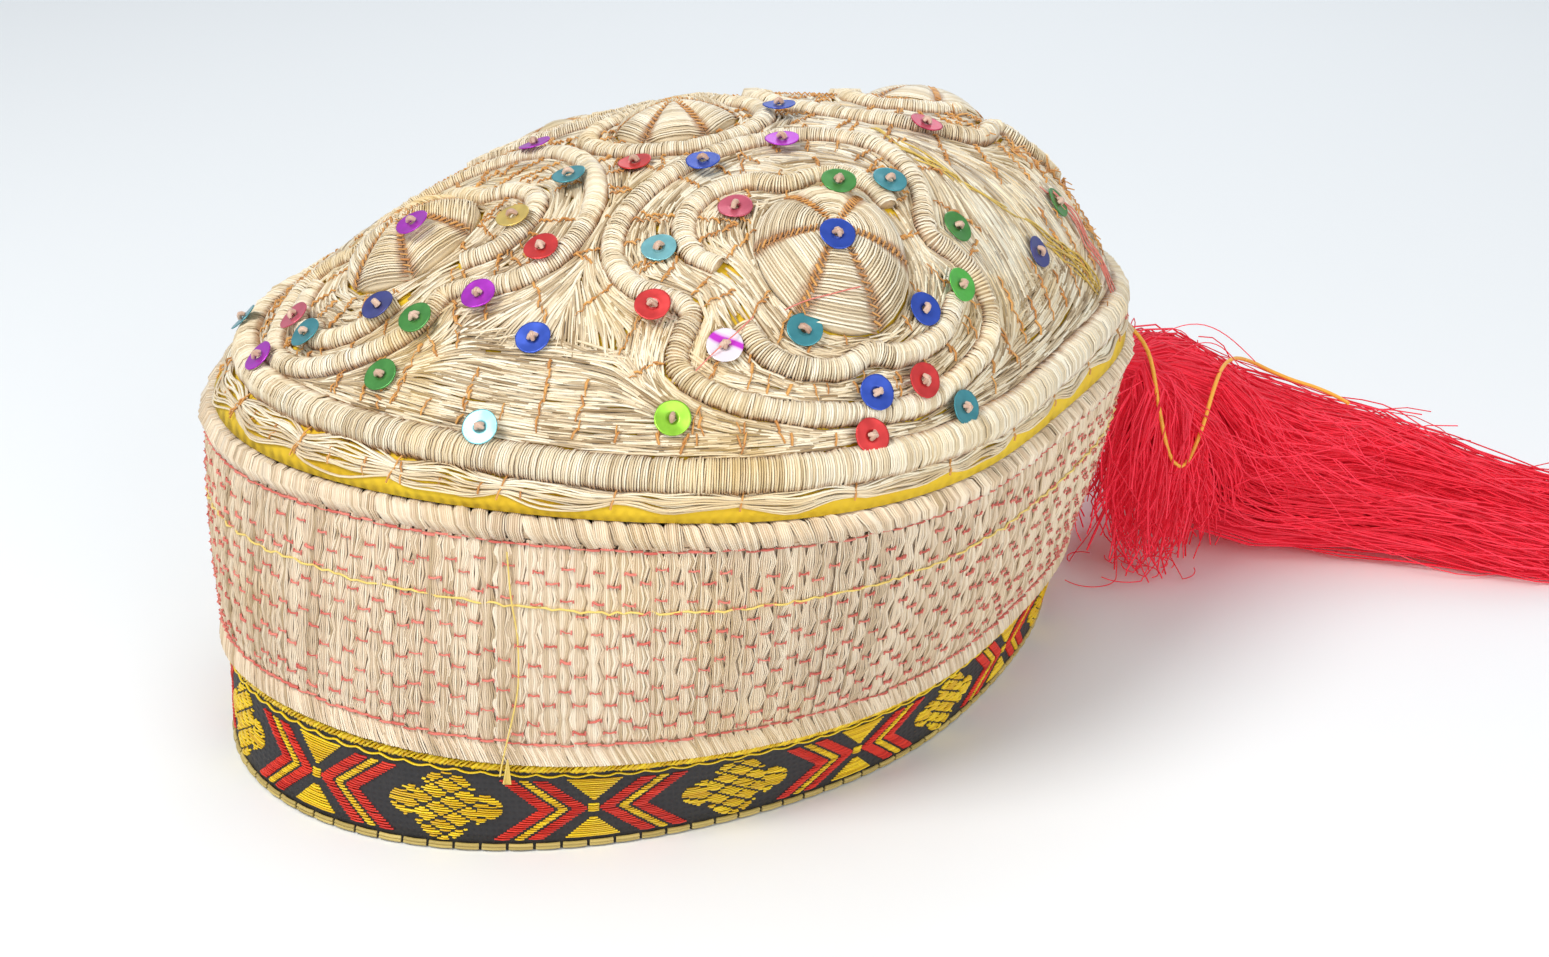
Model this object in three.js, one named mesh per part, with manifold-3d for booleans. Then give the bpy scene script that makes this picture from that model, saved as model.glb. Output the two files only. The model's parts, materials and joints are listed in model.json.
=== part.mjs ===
// Embroidered skullcap resting on its rim, with a red floss tassel lying beside it.
// Millimetres, +Z up. The origin is the centre of the head opening, on the surface the cap rests on.
// +X runs towards the tassel's free end, and -Y is the side that faces the viewer.

import * as THREE from "three";
import { mergeVertices } from "three/addons/utils/BufferGeometryUtils.js";
import Module from "manifold-3d";

const wasm = await Module();
wasm.setup();

// The rim measures 560 mm round, an adult head size. Each oval is a circle with three gentle waves.
const rimOval = { x: 0, y: 0, radius: 85.9, turn: 46.5, oval: 0.177, egg: 0.014, square: 0.028 };
const seamOval = { x: 3.5, y: -5.4, radius: 91.5, turn: 28.6, oval: 0.062, egg: 0.036, square: 0.04 };

// Heights above the resting surface, and how the crown rises from its seam to its lopsided top.
const seamHeight = 68;
const crown = { rise: 51, peakX: 44, peakY: -4, share: 0.7, round: 2.23, flat: 4.28, thick: 3 };
const band = { thick: 3.4, proud: 0.6, top: 63.9, bulge: 1.4 };
const ribbon = { height: 20.2, thick: 1.8, inset: 0.2, cornerBearing: 222, cornerRise: 3.6, cornerWidth: 26 };
const topRoll = { radius: 2.15, height: 66.3, inset: 1.3 };

// Clearance between pieces that touch.
const gap = 0.35;

// Raised satin-stitched cords: a half-round section, wide and high.
const cordSection = { width: 4.3, height: 2.6, facets: 4 };
const edgeRoll = { width: 5, height: 3, facets: 4 };

// Where the edge cord runs, as a share of the way from the crown's peak out to the seam.
const edgeRoute = [
  { bearing: 0, share: 0.925 },
  { bearing: 45, share: 0.92 },
  { bearing: 90, share: 0.935 },
  { bearing: 135, share: 0.94 },
  { bearing: 180, share: 0.935 },
  { bearing: 225, share: 0.929 },
  { bearing: 270, share: 0.941 },
  { bearing: 315, share: 0.938 },
];

// The four medallions stand round the middle of the crown, one to each quarter.
const medallions = [
  { name: "front_right", bearing: -60, stretch: 1, size: 1, lobes: 1, bossOut: 59, mirror: 1 },
  { name: "back_right", bearing: 32, stretch: 1.14, size: 0.94, lobes: 0.82, bossOut: 61.5, mirror: 1 },
  { name: "back_left", bearing: 120, stretch: 0.93, size: 0.94, lobes: 0.95, bossOut: 55.5, mirror: 1 },
  { name: "front_left", bearing: 208, stretch: 1.06, size: 0.92, lobes: 0.78, bossOut: 56.5, mirror: -1 },
];

// A medallion's outer cord starts this far from the crown's middle.
const innerEnd = 22.6;

// A medallion's outer cord: out from the crown's middle, and side across it, once round its outline.
const outerCordRows = [
  { out: 22.6, side: 0 },
  { out: 24, side: 10 },
  { out: 28, side: 17.5 },
  { out: 33, side: 21.8 },
  { out: 39, side: 24.3 },
  { out: 46, side: 24.8 },
  { out: 52, side: 23.2 },
  { out: 57, side: 20.6 },
  { out: 60, side: 20.4 },
  { out: 61.6, side: 23.4 },
  { out: 64, side: 27.4 },
  { out: 67.5, side: 28.6 },
  { out: 71.5, side: 25.4 },
  { out: 75, side: 20 },
  { out: 78.4, side: 12.6 },
  { out: 80.6, side: 5.4 },
  { out: 81.2, side: -1.5 },
  { out: 80.4, side: -9.5 },
  { out: 78, side: -18 },
  { out: 74, side: -25.4 },
  { out: 70, side: -30.4 },
  { out: 66, side: -33.6 },
  { out: 62.3, side: -34.6 },
  { out: 59.4, side: -32 },
  { out: 57.4, side: -29 },
  { out: 54.6, side: -29.2 },
  { out: 51, side: -31.6 },
  { out: 45.8, side: -34.8 },
  { out: 39, side: -34.8 },
  { out: 33, side: -31 },
  { out: 27.5, side: -23 },
  { out: 23.8, side: -11.6 },
];

// The inner cord's two arcs, each holding a pair of lobes round the boss.
const innerArcs = [
  {
    name: "upper",
    points: [
      { out: 52, side: -20.4 },
      { out: 47, side: -22.8 },
      { out: 41, side: -21.4 },
      { out: 36.8, side: -17 },
      { out: 35.2, side: -11 },
      { out: 36.6, side: -4.6 },
      { out: 40.2, side: -1 },
      { out: 41.4, side: 2.6 },
      { out: 41.4, side: 7.4 },
      { out: 44.4, side: 12 },
      { out: 49, side: 14.6 },
      { out: 53.4, side: 15 },
    ],
  },
  {
    name: "lower",
    points: [
      { out: 63.6, side: -22 },
      { out: 68.4, side: -20.8 },
      { out: 72, side: -17.6 },
      { out: 74.4, side: -12.8 },
      { out: 75.4, side: -7.8 },
      { out: 74.8, side: -3 },
      { out: 75.8, side: 2 },
      { out: 75, side: 8.4 },
      { out: 72.6, side: 14.6 },
      { out: 68.6, side: 19.8 },
    ],
  },
];

// Six-segment padded bosses: one in each medallion and one in the middle of the crown.
const boss = { side: -1, radius: 13.3, height: 7, segments: 6, dip: 0.16, turn: 5 };
const centreBoss = { x: 3.5, y: -5.4, radius: 12.2 };
const centreRing = { radius: 17.6, steps: 22 };

// Foil sequins: where each one sits in plan, its colour, and how far it is lifted off the ground cloth.
const sequin = { radius: 3.2, hole: 0.7, thick: 0.35, sides: 8 };
const tones = {
  blue: 0x1d4fc0,
  navy: 0x2c3a86,
  red: 0xd42a30,
  magenta: 0xb81fc4,
  teal: 0x3f9aa0,
  cyan: 0x9fd6dc,
  green: 0x3f8f3a,
  lime: 0x8ccf2a,
  pink: 0xd95a70,
  gold: 0xd8bc50,
};
const sequins = [
  { x: 32, y: -58.6, tone: "blue", lift: 7.9 },
  { x: -42.5, y: -39, tone: "magenta", lift: 7.9 },
  { x: 15, y: -47.6, tone: "pink", lift: 0.5 },
  { x: 33.5, y: -45.3, tone: "green", lift: 5.6 },
  { x: 48.5, y: -61, tone: "blue", lift: 1.1 },
  { x: 26.9, y: -71.5, tone: "teal", lift: 0.5 },
  { x: 9.2, y: -33.8, tone: "blue", lift: 3.0 },
  { x: 24.1, y: -26.1, tone: "magenta", lift: 2.7 },
  { x: 43.1, y: -39.9, tone: "teal", lift: 3.2 },
  { x: 1.2, y: -56, tone: "cyan", lift: 1.5 },
  { x: 54.5, y: -53.6, tone: "green", lift: 3.3 },
  { x: 13, y: -74.7, tone: "pink", lift: 1.8 },
  { x: 38.7, y: -76.7, tone: "blue", lift: 3.1 },
  { x: 47, y: -71.4, tone: "red", lift: 3.3 },
  { x: 54.9, y: -68.8, tone: "teal", lift: 2.6 },
  { x: 37.9, y: -81.5, tone: "red", lift: 2.6 },
  { x: 55.8, y: -41.2, tone: "green", lift: 0.5 },
  { x: 0.5, y: -68, tone: "red", lift: 3.2 },
  { x: 4, y: -83.8, tone: "lime", lift: 0.5 },
  { x: -4, y: -27.7, tone: "red", lift: 0.5 },
  { x: -16.1, y: -30.3, tone: "teal", lift: 2.8 },
  { x: -24.1, y: -6.2, tone: "magenta", lift: 3.2 },
  { x: 24.1, y: -7.3, tone: "blue", lift: 3.4 },
  { x: 51.9, y: -14.6, tone: "red", lift: 3.1 },
  { x: 73.6, y: -24.9, tone: "navy", lift: 0.5 },
  { x: 79.7, y: -5.5, tone: "green", lift: 0.5 },
  { x: -25.7, y: -41.4, tone: "gold", lift: 3.4 },
  { x: -19.9, y: -52.2, tone: "red", lift: 3.3 },
  { x: -30.9, y: -58.4, tone: "magenta", lift: 3.1 },
  { x: -20.9, y: -68.6, tone: "blue", lift: 0.5 },
  { x: -29.1, y: -80.1, tone: "cyan", lift: 3.5 },
  { x: -48.8, y: -64.9, tone: "green", lift: 0.5 },
  { x: -42.2, y: -58.4, tone: "green", lift: 3.3 },
  { x: -49.8, y: -51.4, tone: "navy", lift: 3.3 },
  { x: -64.1, y: -47.1, tone: "teal", lift: 3.2 },
  { x: -67.5, y: -38.9, tone: "pink", lift: 3.2 },
];

// The tassel: a bound head on the band's right side, and locks that fall to the surface and trail off.
const tasselHead = { x: 108.5, y: 40, z: 50, radius: 7, height: 12, sides: 8 };
const lockSection = { sides: 8, steps: 10 };
const locks = [
  {
    name: "middle",
    route: [
      { x: 108, y: 41, z: 49, wide: 7, high: 7 },
      { x: 117, y: 54, z: 41, wide: 17, high: 12 },
      { x: 130, y: 66, z: 26, wide: 24, high: 15 },
      { x: 152, y: 69, z: 17, wide: 26, high: 16 },
      { x: 176, y: 58, z: 17, wide: 22, high: 15 },
      { x: 199, y: 45, z: 14, wide: 15, high: 12 },
      { x: 224, y: 34, z: 11, wide: 8, high: 8 },
    ],
  },
  {
    name: "near",
    route: [
      { x: 109, y: 39, z: 48, wide: 7, high: 6 },
      { x: 118, y: 44, z: 36, wide: 13, high: 9 },
      { x: 131, y: 52, z: 17, wide: 17, high: 11 },
      { x: 153, y: 48, z: 12, wide: 18, high: 11.5 },
      { x: 176, y: 39, z: 10, wide: 13, high: 9.5 },
      { x: 197, y: 31, z: 7, wide: 9, high: 6.5 },
      { x: 216, y: 26, z: 4, wide: 3, high: 3 },
    ],
  },
  {
    name: "far",
    route: [
      { x: 108, y: 43, z: 49, wide: 6, high: 6 },
      { x: 114, y: 62, z: 38, wide: 14, high: 10 },
      { x: 130, y: 82, z: 17, wide: 19, high: 12 },
      { x: 154, y: 88, z: 12, wide: 17, high: 11 },
      { x: 177, y: 75, z: 10, wide: 14, high: 9.5 },
      { x: 197, y: 57, z: 8, wide: 9, high: 7 },
      { x: 214, y: 44, z: 5, wide: 4, high: 4 },
    ],
  },
  {
    name: "fall_near",
    route: [
      { x: 109, y: 38, z: 49, wide: 6, high: 5 },
      { x: 112, y: 35, z: 38, wide: 10, high: 6 },
      { x: 113, y: 31, z: 20, wide: 11, high: 6.5 },
      { x: 112, y: 27, z: 5.5, wide: 8, high: 5 },
    ],
  },
  {
    name: "fall_right",
    route: [
      { x: 110, y: 40, z: 49, wide: 6, high: 5 },
      { x: 117, y: 41, z: 38, wide: 11, high: 7 },
      { x: 121, y: 40, z: 20, wide: 12, high: 7.5 },
      { x: 123, y: 38, z: 6, wide: 9, high: 5.5 },
    ],
  },
  {
    name: "fall_far",
    route: [
      { x: 108, y: 44, z: 49, wide: 6, high: 5 },
      { x: 107, y: 55, z: 38, wide: 10, high: 7 },
      { x: 106, y: 62, z: 20, wide: 11, high: 8 },
      { x: 105, y: 66, z: 6.5, wide: 9, high: 6 },
    ],
  },
];

// Steps round the cap and up its walls.
const roundSteps = 56;
const bandRows = 3;
const crownRings = 9;
const innerRings = 4;

const colours = { floss: 0xd9c8a6, cord: 0xe2d3b4, ribbon: 0x2b2a2c, tassel: 0xd01228 };

function radians(degrees) {
  return THREE.MathUtils.degToRad(degrees);
}

// A point of an oval at a bearing in radians.
function ovalPoint(oval, bearing) {
  const turned = bearing - radians(oval.turn);
  const waves = oval.oval * Math.cos(2 * turned) + oval.egg * Math.cos(3 * turned) + oval.square * Math.cos(4 * turned);
  const reach = oval.radius * (1 + waves);
  return new THREE.Vector2(reach * Math.cos(bearing) + oval.x, reach * Math.sin(bearing) + oval.y);
}

// A point of the side wall at a height, moved outwards by proud along the wall's level normal.
function wallPoint(bearing, height, proud) {
  const share = height / seamHeight;
  const at = (angle) => ovalPoint(rimOval, angle).lerp(ovalPoint(seamOval, angle), share);
  const along = at(bearing + 0.01).sub(at(bearing - 0.01)).normalize();
  const point = at(bearing);
  return new THREE.Vector3(point.x + along.y * proud, point.y - along.x * proud, height);
}

// The crown's height at a share of the way from its peak out to the seam.
function crownHeight(share) {
  const fall = crown.share * share ** crown.round + (1 - crown.share) * share ** crown.flat;
  return seamHeight + crown.rise * (1 - fall);
}

// A point of the crown's outer face.
function crownPoint(bearing, share) {
  const edge = ovalPoint(seamOval, bearing);
  const x = crown.peakX + (edge.x - crown.peakX) * share;
  const y = crown.peakY + (edge.y - crown.peakY) * share;
  return new THREE.Vector3(x, y, crownHeight(share));
}

// How far out a plan point lies between the crown's peak, 0, and its seam, 1.
function shareAt(x, y) {
  let near = 0.0001;
  let far = 2;
  for (let i = 0; i < 40; i += 1) {
    const middle = (near + far) / 2;
    const reachX = crown.peakX + (x - crown.peakX) / middle - seamOval.x;
    const reachY = crown.peakY + (y - crown.peakY) / middle - seamOval.y;
    const edge = ovalPoint(seamOval, Math.atan2(reachY, reachX));
    const limit = Math.hypot(edge.x - seamOval.x, edge.y - seamOval.y);
    if (Math.hypot(reachX, reachY) > limit) near = middle;
    else far = middle;
  }
  return (near + far) / 2;
}

// The crown's surface over a plan point, with its outward normal.
function crownOver(x, y) {
  const step = 0.05;
  const height = (px, py) => crownHeight(shareAt(px, py));
  const slopeX = (height(x + step, y) - height(x - step, y)) / (2 * step);
  const slopeY = (height(x, y + step) - height(x, y - step)) / (2 * step);
  return {
    point: new THREE.Vector3(x, y, height(x, y)),
    normal: new THREE.Vector3(-slopeX, -slopeY, 1).normalize(),
  };
}

// A closed skin over a grid of points: rows of equal length, closed round each row, and joined row to row.
// With looped rows the last row joins the first; otherwise each end is filled by a fan.
function skin(rows, looped) {
  const count = rows[0].length;
  const points = rows.flat();
  const triangles = [];
  const lastRow = looped ? rows.length : rows.length - 1;
  for (let r = 0; r < lastRow; r += 1) {
    const next = (r + 1) % rows.length;
    for (let i = 0; i < count; i += 1) {
      const j = (i + 1) % count;
      triangles.push(r * count + i, r * count + j, next * count + j);
      triangles.push(r * count + i, next * count + j, next * count + i);
    }
  }
  if (!looped) {
    const end = (rows.length - 1) * count;
    for (let i = 1; i < count - 1; i += 1) {
      triangles.push(0, i + 1, i);
      triangles.push(end, end + i, end + i + 1);
    }
  }
  const geometry = new THREE.BufferGeometry().setFromPoints(points);
  geometry.setIndex(triangles);
  geometry.computeVertexNormals();
  return geometry;
}

// A ring wall round the cap: corners is a list of functions from a bearing to one corner of its section.
function ringWall(corners) {
  const rows = [];
  for (let i = 0; i < roundSteps; i += 1) {
    const bearing = (i / roundSteps) * 2 * Math.PI;
    rows.push(corners.map((corner) => corner(bearing)));
  }
  return skin(rows, true);
}

// The ribbon stands higher where it flares at the front left corner.
function ribbonTop(bearing) {
  const away = THREE.MathUtils.euclideanModulo(bearing - radians(ribbon.cornerBearing) + Math.PI, 2 * Math.PI) - Math.PI;
  const near = away / radians(ribbon.cornerWidth);
  return ribbon.height + ribbon.cornerRise * Math.exp(-near * near);
}

// The flat ribbon that binds the rim. Its lower edge is the face that the cap rests on.
function hemRibbon() {
  const outer = -ribbon.inset;
  const inner = outer - ribbon.thick;
  return ringWall([
    (bearing) => wallPoint(bearing, 0, outer),
    (bearing) => wallPoint(bearing, 0, inner),
    (bearing) => wallPoint(bearing, ribbonTop(bearing) - gap, inner),
    (bearing) => wallPoint(bearing, ribbonTop(bearing) - gap, outer),
  ]);
}

// The padded side band, a little fuller at mid height.
function sideBand() {
  const at = (bearing, up) => THREE.MathUtils.lerp(ribbonTop(bearing), band.top, up);
  const proud = (up) => band.proud + band.bulge * Math.sin(Math.PI * up);
  const corners = [];
  for (let row = bandRows; row >= 0; row -= 1) {
    const up = row / bandRows;
    corners.push((bearing) => wallPoint(bearing, at(bearing, up), proud(up)));
  }
  for (const up of [0, 0.5, 1]) {
    corners.push((bearing) => wallPoint(bearing, at(bearing, up), proud(up) - band.thick));
  }
  return ringWall(corners);
}

// The rolled, whipped edge where the band meets the crown.
function bandTopRoll() {
  const sides = 6;
  const corners = [];
  for (let i = 0; i < sides; i += 1) {
    const angle = ((i + 0.5) / sides) * 2 * Math.PI;
    const out = topRoll.radius * Math.cos(angle) - topRoll.inset;
    const up = topRoll.radius * Math.sin(angle);
    corners.push((bearing) => wallPoint(bearing, topRoll.height, out).setZ(topRoll.height + up));
  }
  return ringWall(corners.reverse());
}

// The crown, a padded shell open underneath.
function crownShell() {
  const foot = shareOfHeight(topRoll.height + topRoll.radius + gap);
  const outer = [];
  const inner = [];
  for (let ring = 1; ring <= crownRings; ring += 1) outer.push((foot * ring) / crownRings);
  for (let ring = 1; ring <= innerRings; ring += 1) inner.push((foot * ring) / innerRings);
  const rowAt = (share, lower) => {
    const row = [];
    for (let i = 0; i < roundSteps; i += 1) {
      const top = crownPoint((i / roundSteps) * 2 * Math.PI, share);
      const { normal } = crownOver(top.x, top.y);
      row.push(lower ? innerFace(top, normal, share / foot) : top);
    }
    return row;
  };
  const rows = [...inner.map((share) => rowAt(share, true)), ...outer.reverse().map((share) => rowAt(share, false))];
  return skin(rows, false);
}

// The crown's inner face: one thickness in along the normal, turned level at the foot.
function innerFace(top, normal, nearFoot) {
  const inward = normal.clone().multiplyScalar(-crown.thick);
  if (nearFoot > 0.999) inward.z = 0;
  if (nearFoot > 0.999) inward.setLength(crown.thick);
  return top.clone().add(inward);
}

// The share of the way out at which the crown reaches a height.
function shareOfHeight(height) {
  let near = 0.5;
  let far = 1;
  for (let i = 0; i < 40; i += 1) {
    const middle = (near + far) / 2;
    if (crownHeight(middle) > height) near = middle;
    else far = middle;
  }
  return near;
}

// A raised cord along plan points, its flat side lying a gap above the crown.
function raisedCord(path, looped, section) {
  const rows = path.map((here, i) => {
    const before = path[looped ? (i - 1 + path.length) % path.length : Math.max(i - 1, 0)];
    const after = path[looped ? (i + 1) % path.length : Math.min(i + 1, path.length - 1)];
    const { point, normal } = crownOver(here.x, here.y);
    const along = crownOver(after.x, after.y).point.sub(crownOver(before.x, before.y).point).normalize();
    const side = new THREE.Vector3().crossVectors(normal, along).normalize();
    const row = [];
    for (let k = 0; k <= section.facets; k += 1) {
      const angle = (k / section.facets) * Math.PI;
      const out = (section.width / 2) * Math.cos(angle);
      const up = gap + section.height * Math.sin(angle);
      row.push(point.clone().addScaledVector(side, out).addScaledVector(normal, up));
    }
    return row;
  });
  return outward(skin(rows, looped));
}

// Turns a skin's faces outwards if they point in.
function outward(geometry) {
  const position = geometry.getAttribute("position");
  const index = geometry.getIndex().array;
  const corner = (i) => new THREE.Vector3().fromBufferAttribute(position, index[i]);
  let volume = 0;
  for (let i = 0; i < index.length; i += 3) {
    volume += corner(i).dot(corner(i + 1).cross(corner(i + 2)));
  }
  if (volume < 0) geometry.setIndex(Array.from(index).reverse());
  geometry.computeVertexNormals();
  return geometry;
}

// Smooth points through control points, a few for each stretch between them.
function smooth(points, looped, perStretch) {
  const curve = new THREE.CatmullRomCurve3(points.map((p) => new THREE.Vector3(p.x, p.y, 0)), looped, "centripetal");
  const stretches = looped ? points.length : points.length - 1;
  const made = curve.getPoints(stretches * perStretch);
  if (looped) made.pop();
  return made;
}

// The share of the way out at which the edge cord runs, eased between the rows of its table.
function edgeShare(degrees) {
  const count = edgeRoute.length;
  const place = (THREE.MathUtils.euclideanModulo(degrees, 360) / 360) * count;
  const first = Math.floor(place) % count;
  const ease = THREE.MathUtils.smoothstep(place - Math.floor(place), 0, 1);
  return THREE.MathUtils.lerp(edgeRoute[first].share, edgeRoute[(first + 1) % count].share, ease);
}

function edgeCord() {
  const path = [];
  for (let i = 0; i < roundSteps; i += 1) {
    const degrees = (i / roundSteps) * 360;
    path.push(crownPoint(radians(degrees), edgeShare(degrees)));
  }
  return raisedCord(path, true, edgeRoll);
}

// A medallion's own coordinates to plan: out along its bearing, side across it.
function medallionPoint(medallion, out, side) {
  const bearing = radians(medallion.bearing);
  const reach = innerEnd + (out - innerEnd) * medallion.stretch;
  const nearTip = THREE.MathUtils.smoothstep(out, 50, 62);
  const across = side * medallion.mirror * medallion.size * THREE.MathUtils.lerp(1, medallion.lobes, nearTip);
  return new THREE.Vector2(
    seamOval.x + reach * Math.cos(bearing) - across * Math.sin(bearing),
    seamOval.y + reach * Math.sin(bearing) + across * Math.cos(bearing),
  );
}

function outerCord(medallion) {
  const points = outerCordRows.map((p) => medallionPoint(medallion, p.out, p.side));
  return raisedCord(smooth(points, true, 1), true, cordSection);
}

function innerCord(medallion, arc) {
  const points = arc.points.map((p) => medallionPoint(medallion, p.out, p.side));
  return raisedCord(smooth(points, false, 2), false, cordSection);
}

// A boss: a low dome cut into six padded segments by shallow valleys that run out from its middle.
function bossDome(centre, radius, turn) {
  const around = boss.segments * 4;
  const rings = [1, 0.72, 0.4];
  const ringAt = (share, floor) => {
    const row = [];
    for (let i = 0; i < around; i += 1) {
      const angle = (i / around) * 2 * Math.PI + radians(turn);
      const valley = Math.abs(Math.cos((boss.segments / 2) * (angle - radians(turn))));
      const reach = radius * share * (1 - 0.5 * boss.dip * valley);
      const base = crownOver(centre.x + reach * Math.cos(angle), centre.y + reach * Math.sin(angle));
      const fullness = Math.sqrt(1 - share ** 2 * 0.96) * (1 - boss.dip * valley * share);
      const up = floor ? gap : gap + boss.height * fullness;
      row.push(base.point.clone().addScaledVector(base.normal, up));
    }
    return row;
  };
  const rows = [ringAt(0.4, true), ringAt(1, true)];
  for (const share of rings) rows.push(ringAt(share, false));
  return outward(skin(rows, false));
}

// A sequin: a thin disc with a hole, lying on the crown's slope.
function sequinDisc() {
  const ring = (radius) => {
    const points = [];
    for (let i = 0; i < sequin.sides; i += 1) {
      const angle = (i / sequin.sides) * 2 * Math.PI;
      points.push(new THREE.Vector2(radius * Math.cos(angle), radius * Math.sin(angle)));
    }
    return points;
  };
  const shape = new THREE.Shape(ring(sequin.radius));
  shape.holes.push(new THREE.Path(ring(sequin.hole).reverse()));
  return new THREE.ExtrudeGeometry(shape, { depth: sequin.thick, bevelEnabled: false });
}

function placeOnCrown(mesh, x, y, lift) {
  const { point, normal } = crownOver(x, y);
  mesh.position.copy(point).addScaledVector(normal, lift);
  mesh.quaternion.setFromUnitVectors(new THREE.Vector3(0, 0, 1), normal);
  return mesh;
}

// One lock of the tassel: an oval section that swells and tapers along its route, never under the surface.
function lockSolid(lock) {
  const column = (key) => new THREE.CatmullRomCurve3(lock.route.map((p) => new THREE.Vector3(p[key], 0, 0)));
  const route = new THREE.CatmullRomCurve3(lock.route.map((p) => new THREE.Vector3(p.x, p.y, p.z)));
  const wide = column("wide");
  const high = column("high");
  const rows = [];
  for (let i = 0; i <= lockSection.steps; i += 1) {
    const share = i / lockSection.steps;
    const centre = route.getPoint(share);
    const along = route.getTangent(share);
    const side = new THREE.Vector3(-along.y, along.x, 0).normalize();
    const up = new THREE.Vector3().crossVectors(along, side).normalize();
    const row = [];
    for (let k = 0; k < lockSection.sides; k += 1) {
      const angle = ((k + 0.5) / lockSection.sides) * 2 * Math.PI;
      const point = centre.clone();
      point.addScaledVector(side, wide.getPoint(share).x * Math.cos(angle));
      point.addScaledVector(up, high.getPoint(share).x * Math.sin(angle));
      point.z = Math.max(point.z, 0);
      row.push(point);
    }
    rows.push(row);
  }
  return outward(skin(rows, false));
}

// A three.js geometry as a solid for joining, and back.
function toSolid(geometry) {
  const plain = geometry.clone();
  plain.deleteAttribute("normal");
  plain.deleteAttribute("uv");
  const merged = mergeVertices(plain, 1e-4);
  const vertProperties = new Float32Array(merged.getAttribute("position").array);
  const triVerts = new Uint32Array(merged.getIndex().array);
  return new wasm.Manifold(new wasm.Mesh({ numProp: 3, vertProperties, triVerts }));
}

function fromSolid(solid) {
  const made = solid.getMesh();
  const geometry = new THREE.BufferGeometry();
  geometry.setAttribute("position", new THREE.BufferAttribute(new Float32Array(made.vertProperties), 3));
  geometry.setIndex(Array.from(made.triVerts));
  geometry.computeVertexNormals();
  return geometry;
}

// The tassel is one body: all the locks joined to the bound head.
function tasselBody() {
  const head = new THREE.CylinderGeometry(
    tasselHead.radius * 0.8,
    tasselHead.radius,
    tasselHead.height,
    tasselHead.sides,
  );
  head.rotateX(Math.PI / 2);
  head.translate(tasselHead.x, tasselHead.y, tasselHead.z + 2);
  let body = toSolid(head);
  for (const lock of locks) body = body.add(toSolid(lockSolid(lock)));
  return fromSolid(body);
}

const cap = new THREE.Group();

function addPiece(name, geometry, color, roughness, metalness) {
  const material = new THREE.MeshStandardMaterial({ color, roughness, metalness });
  const mesh = new THREE.Mesh(geometry, material);
  mesh.name = name;
  cap.add(mesh);
  return mesh;
}

addPiece("crown", crownShell(), colours.floss, 0.6, 0);
addPiece("side_band", sideBand(), colours.floss, 0.65, 0);
addPiece("band_top_roll", bandTopRoll(), colours.cord, 0.55, 0);
addPiece("hem_ribbon", hemRibbon(), colours.ribbon, 0.7, 0);
addPiece("crown_edge_cord", edgeCord(), colours.cord, 0.5, 0);

const ringPath = [];
for (let i = 0; i < centreRing.steps; i += 1) {
  const angle = (i / centreRing.steps) * 2 * Math.PI;
  const x = centreBoss.x + centreRing.radius * Math.cos(angle);
  const y = centreBoss.y + centreRing.radius * Math.sin(angle);
  ringPath.push(new THREE.Vector2(x, y));
}
addPiece("centre_ring_cord", raisedCord(ringPath, true, cordSection), colours.cord, 0.5, 0);
addPiece("centre_boss", bossDome(centreBoss, centreBoss.radius, 0), colours.cord, 0.5, 0);

for (const medallion of medallions) {
  addPiece(`outer_cord_${medallion.name}`, outerCord(medallion), colours.cord, 0.5, 0);
  for (const arc of innerArcs) {
    addPiece(`inner_cord_${arc.name}_${medallion.name}`, innerCord(medallion, arc), colours.cord, 0.5, 0);
  }
  const centreOut = innerEnd + (medallion.bossOut - innerEnd) / medallion.stretch;
  const centre = medallionPoint(medallion, centreOut, boss.side);
  const dome = bossDome(centre, boss.radius * medallion.size, medallion.bearing + boss.turn);
  addPiece(`boss_${medallion.name}`, dome, colours.cord, 0.5, 0);
}

sequins.forEach((row, i) => {
  const name = `sequin_${String(i + 1).padStart(2, "0")}`;
  const disc = addPiece(name, sequinDisc(), tones[row.tone], 0.35, 0.4);
  placeOnCrown(disc, row.x, row.y, row.lift);
});

addPiece("tassel", tasselBody(), colours.tassel, 0.8, 0);

export default cap;
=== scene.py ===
import json
import math

import bpy
import numpy as np
from mathutils import Matrix, Vector


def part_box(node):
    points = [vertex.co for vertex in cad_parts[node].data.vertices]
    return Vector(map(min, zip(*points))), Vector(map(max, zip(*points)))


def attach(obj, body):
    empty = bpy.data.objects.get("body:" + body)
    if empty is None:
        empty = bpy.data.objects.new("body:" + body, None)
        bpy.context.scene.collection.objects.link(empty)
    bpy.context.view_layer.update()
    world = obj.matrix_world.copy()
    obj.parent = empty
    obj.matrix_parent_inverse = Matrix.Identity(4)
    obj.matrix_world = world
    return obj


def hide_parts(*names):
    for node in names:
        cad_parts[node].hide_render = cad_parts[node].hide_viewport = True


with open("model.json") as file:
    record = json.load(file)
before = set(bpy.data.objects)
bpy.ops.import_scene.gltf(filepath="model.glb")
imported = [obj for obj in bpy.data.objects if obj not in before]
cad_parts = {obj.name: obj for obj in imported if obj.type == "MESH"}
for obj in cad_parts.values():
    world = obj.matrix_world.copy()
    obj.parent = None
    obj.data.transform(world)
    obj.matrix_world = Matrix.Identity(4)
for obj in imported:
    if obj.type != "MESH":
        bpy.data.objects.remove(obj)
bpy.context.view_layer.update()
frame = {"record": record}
print("frame loaded")

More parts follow.
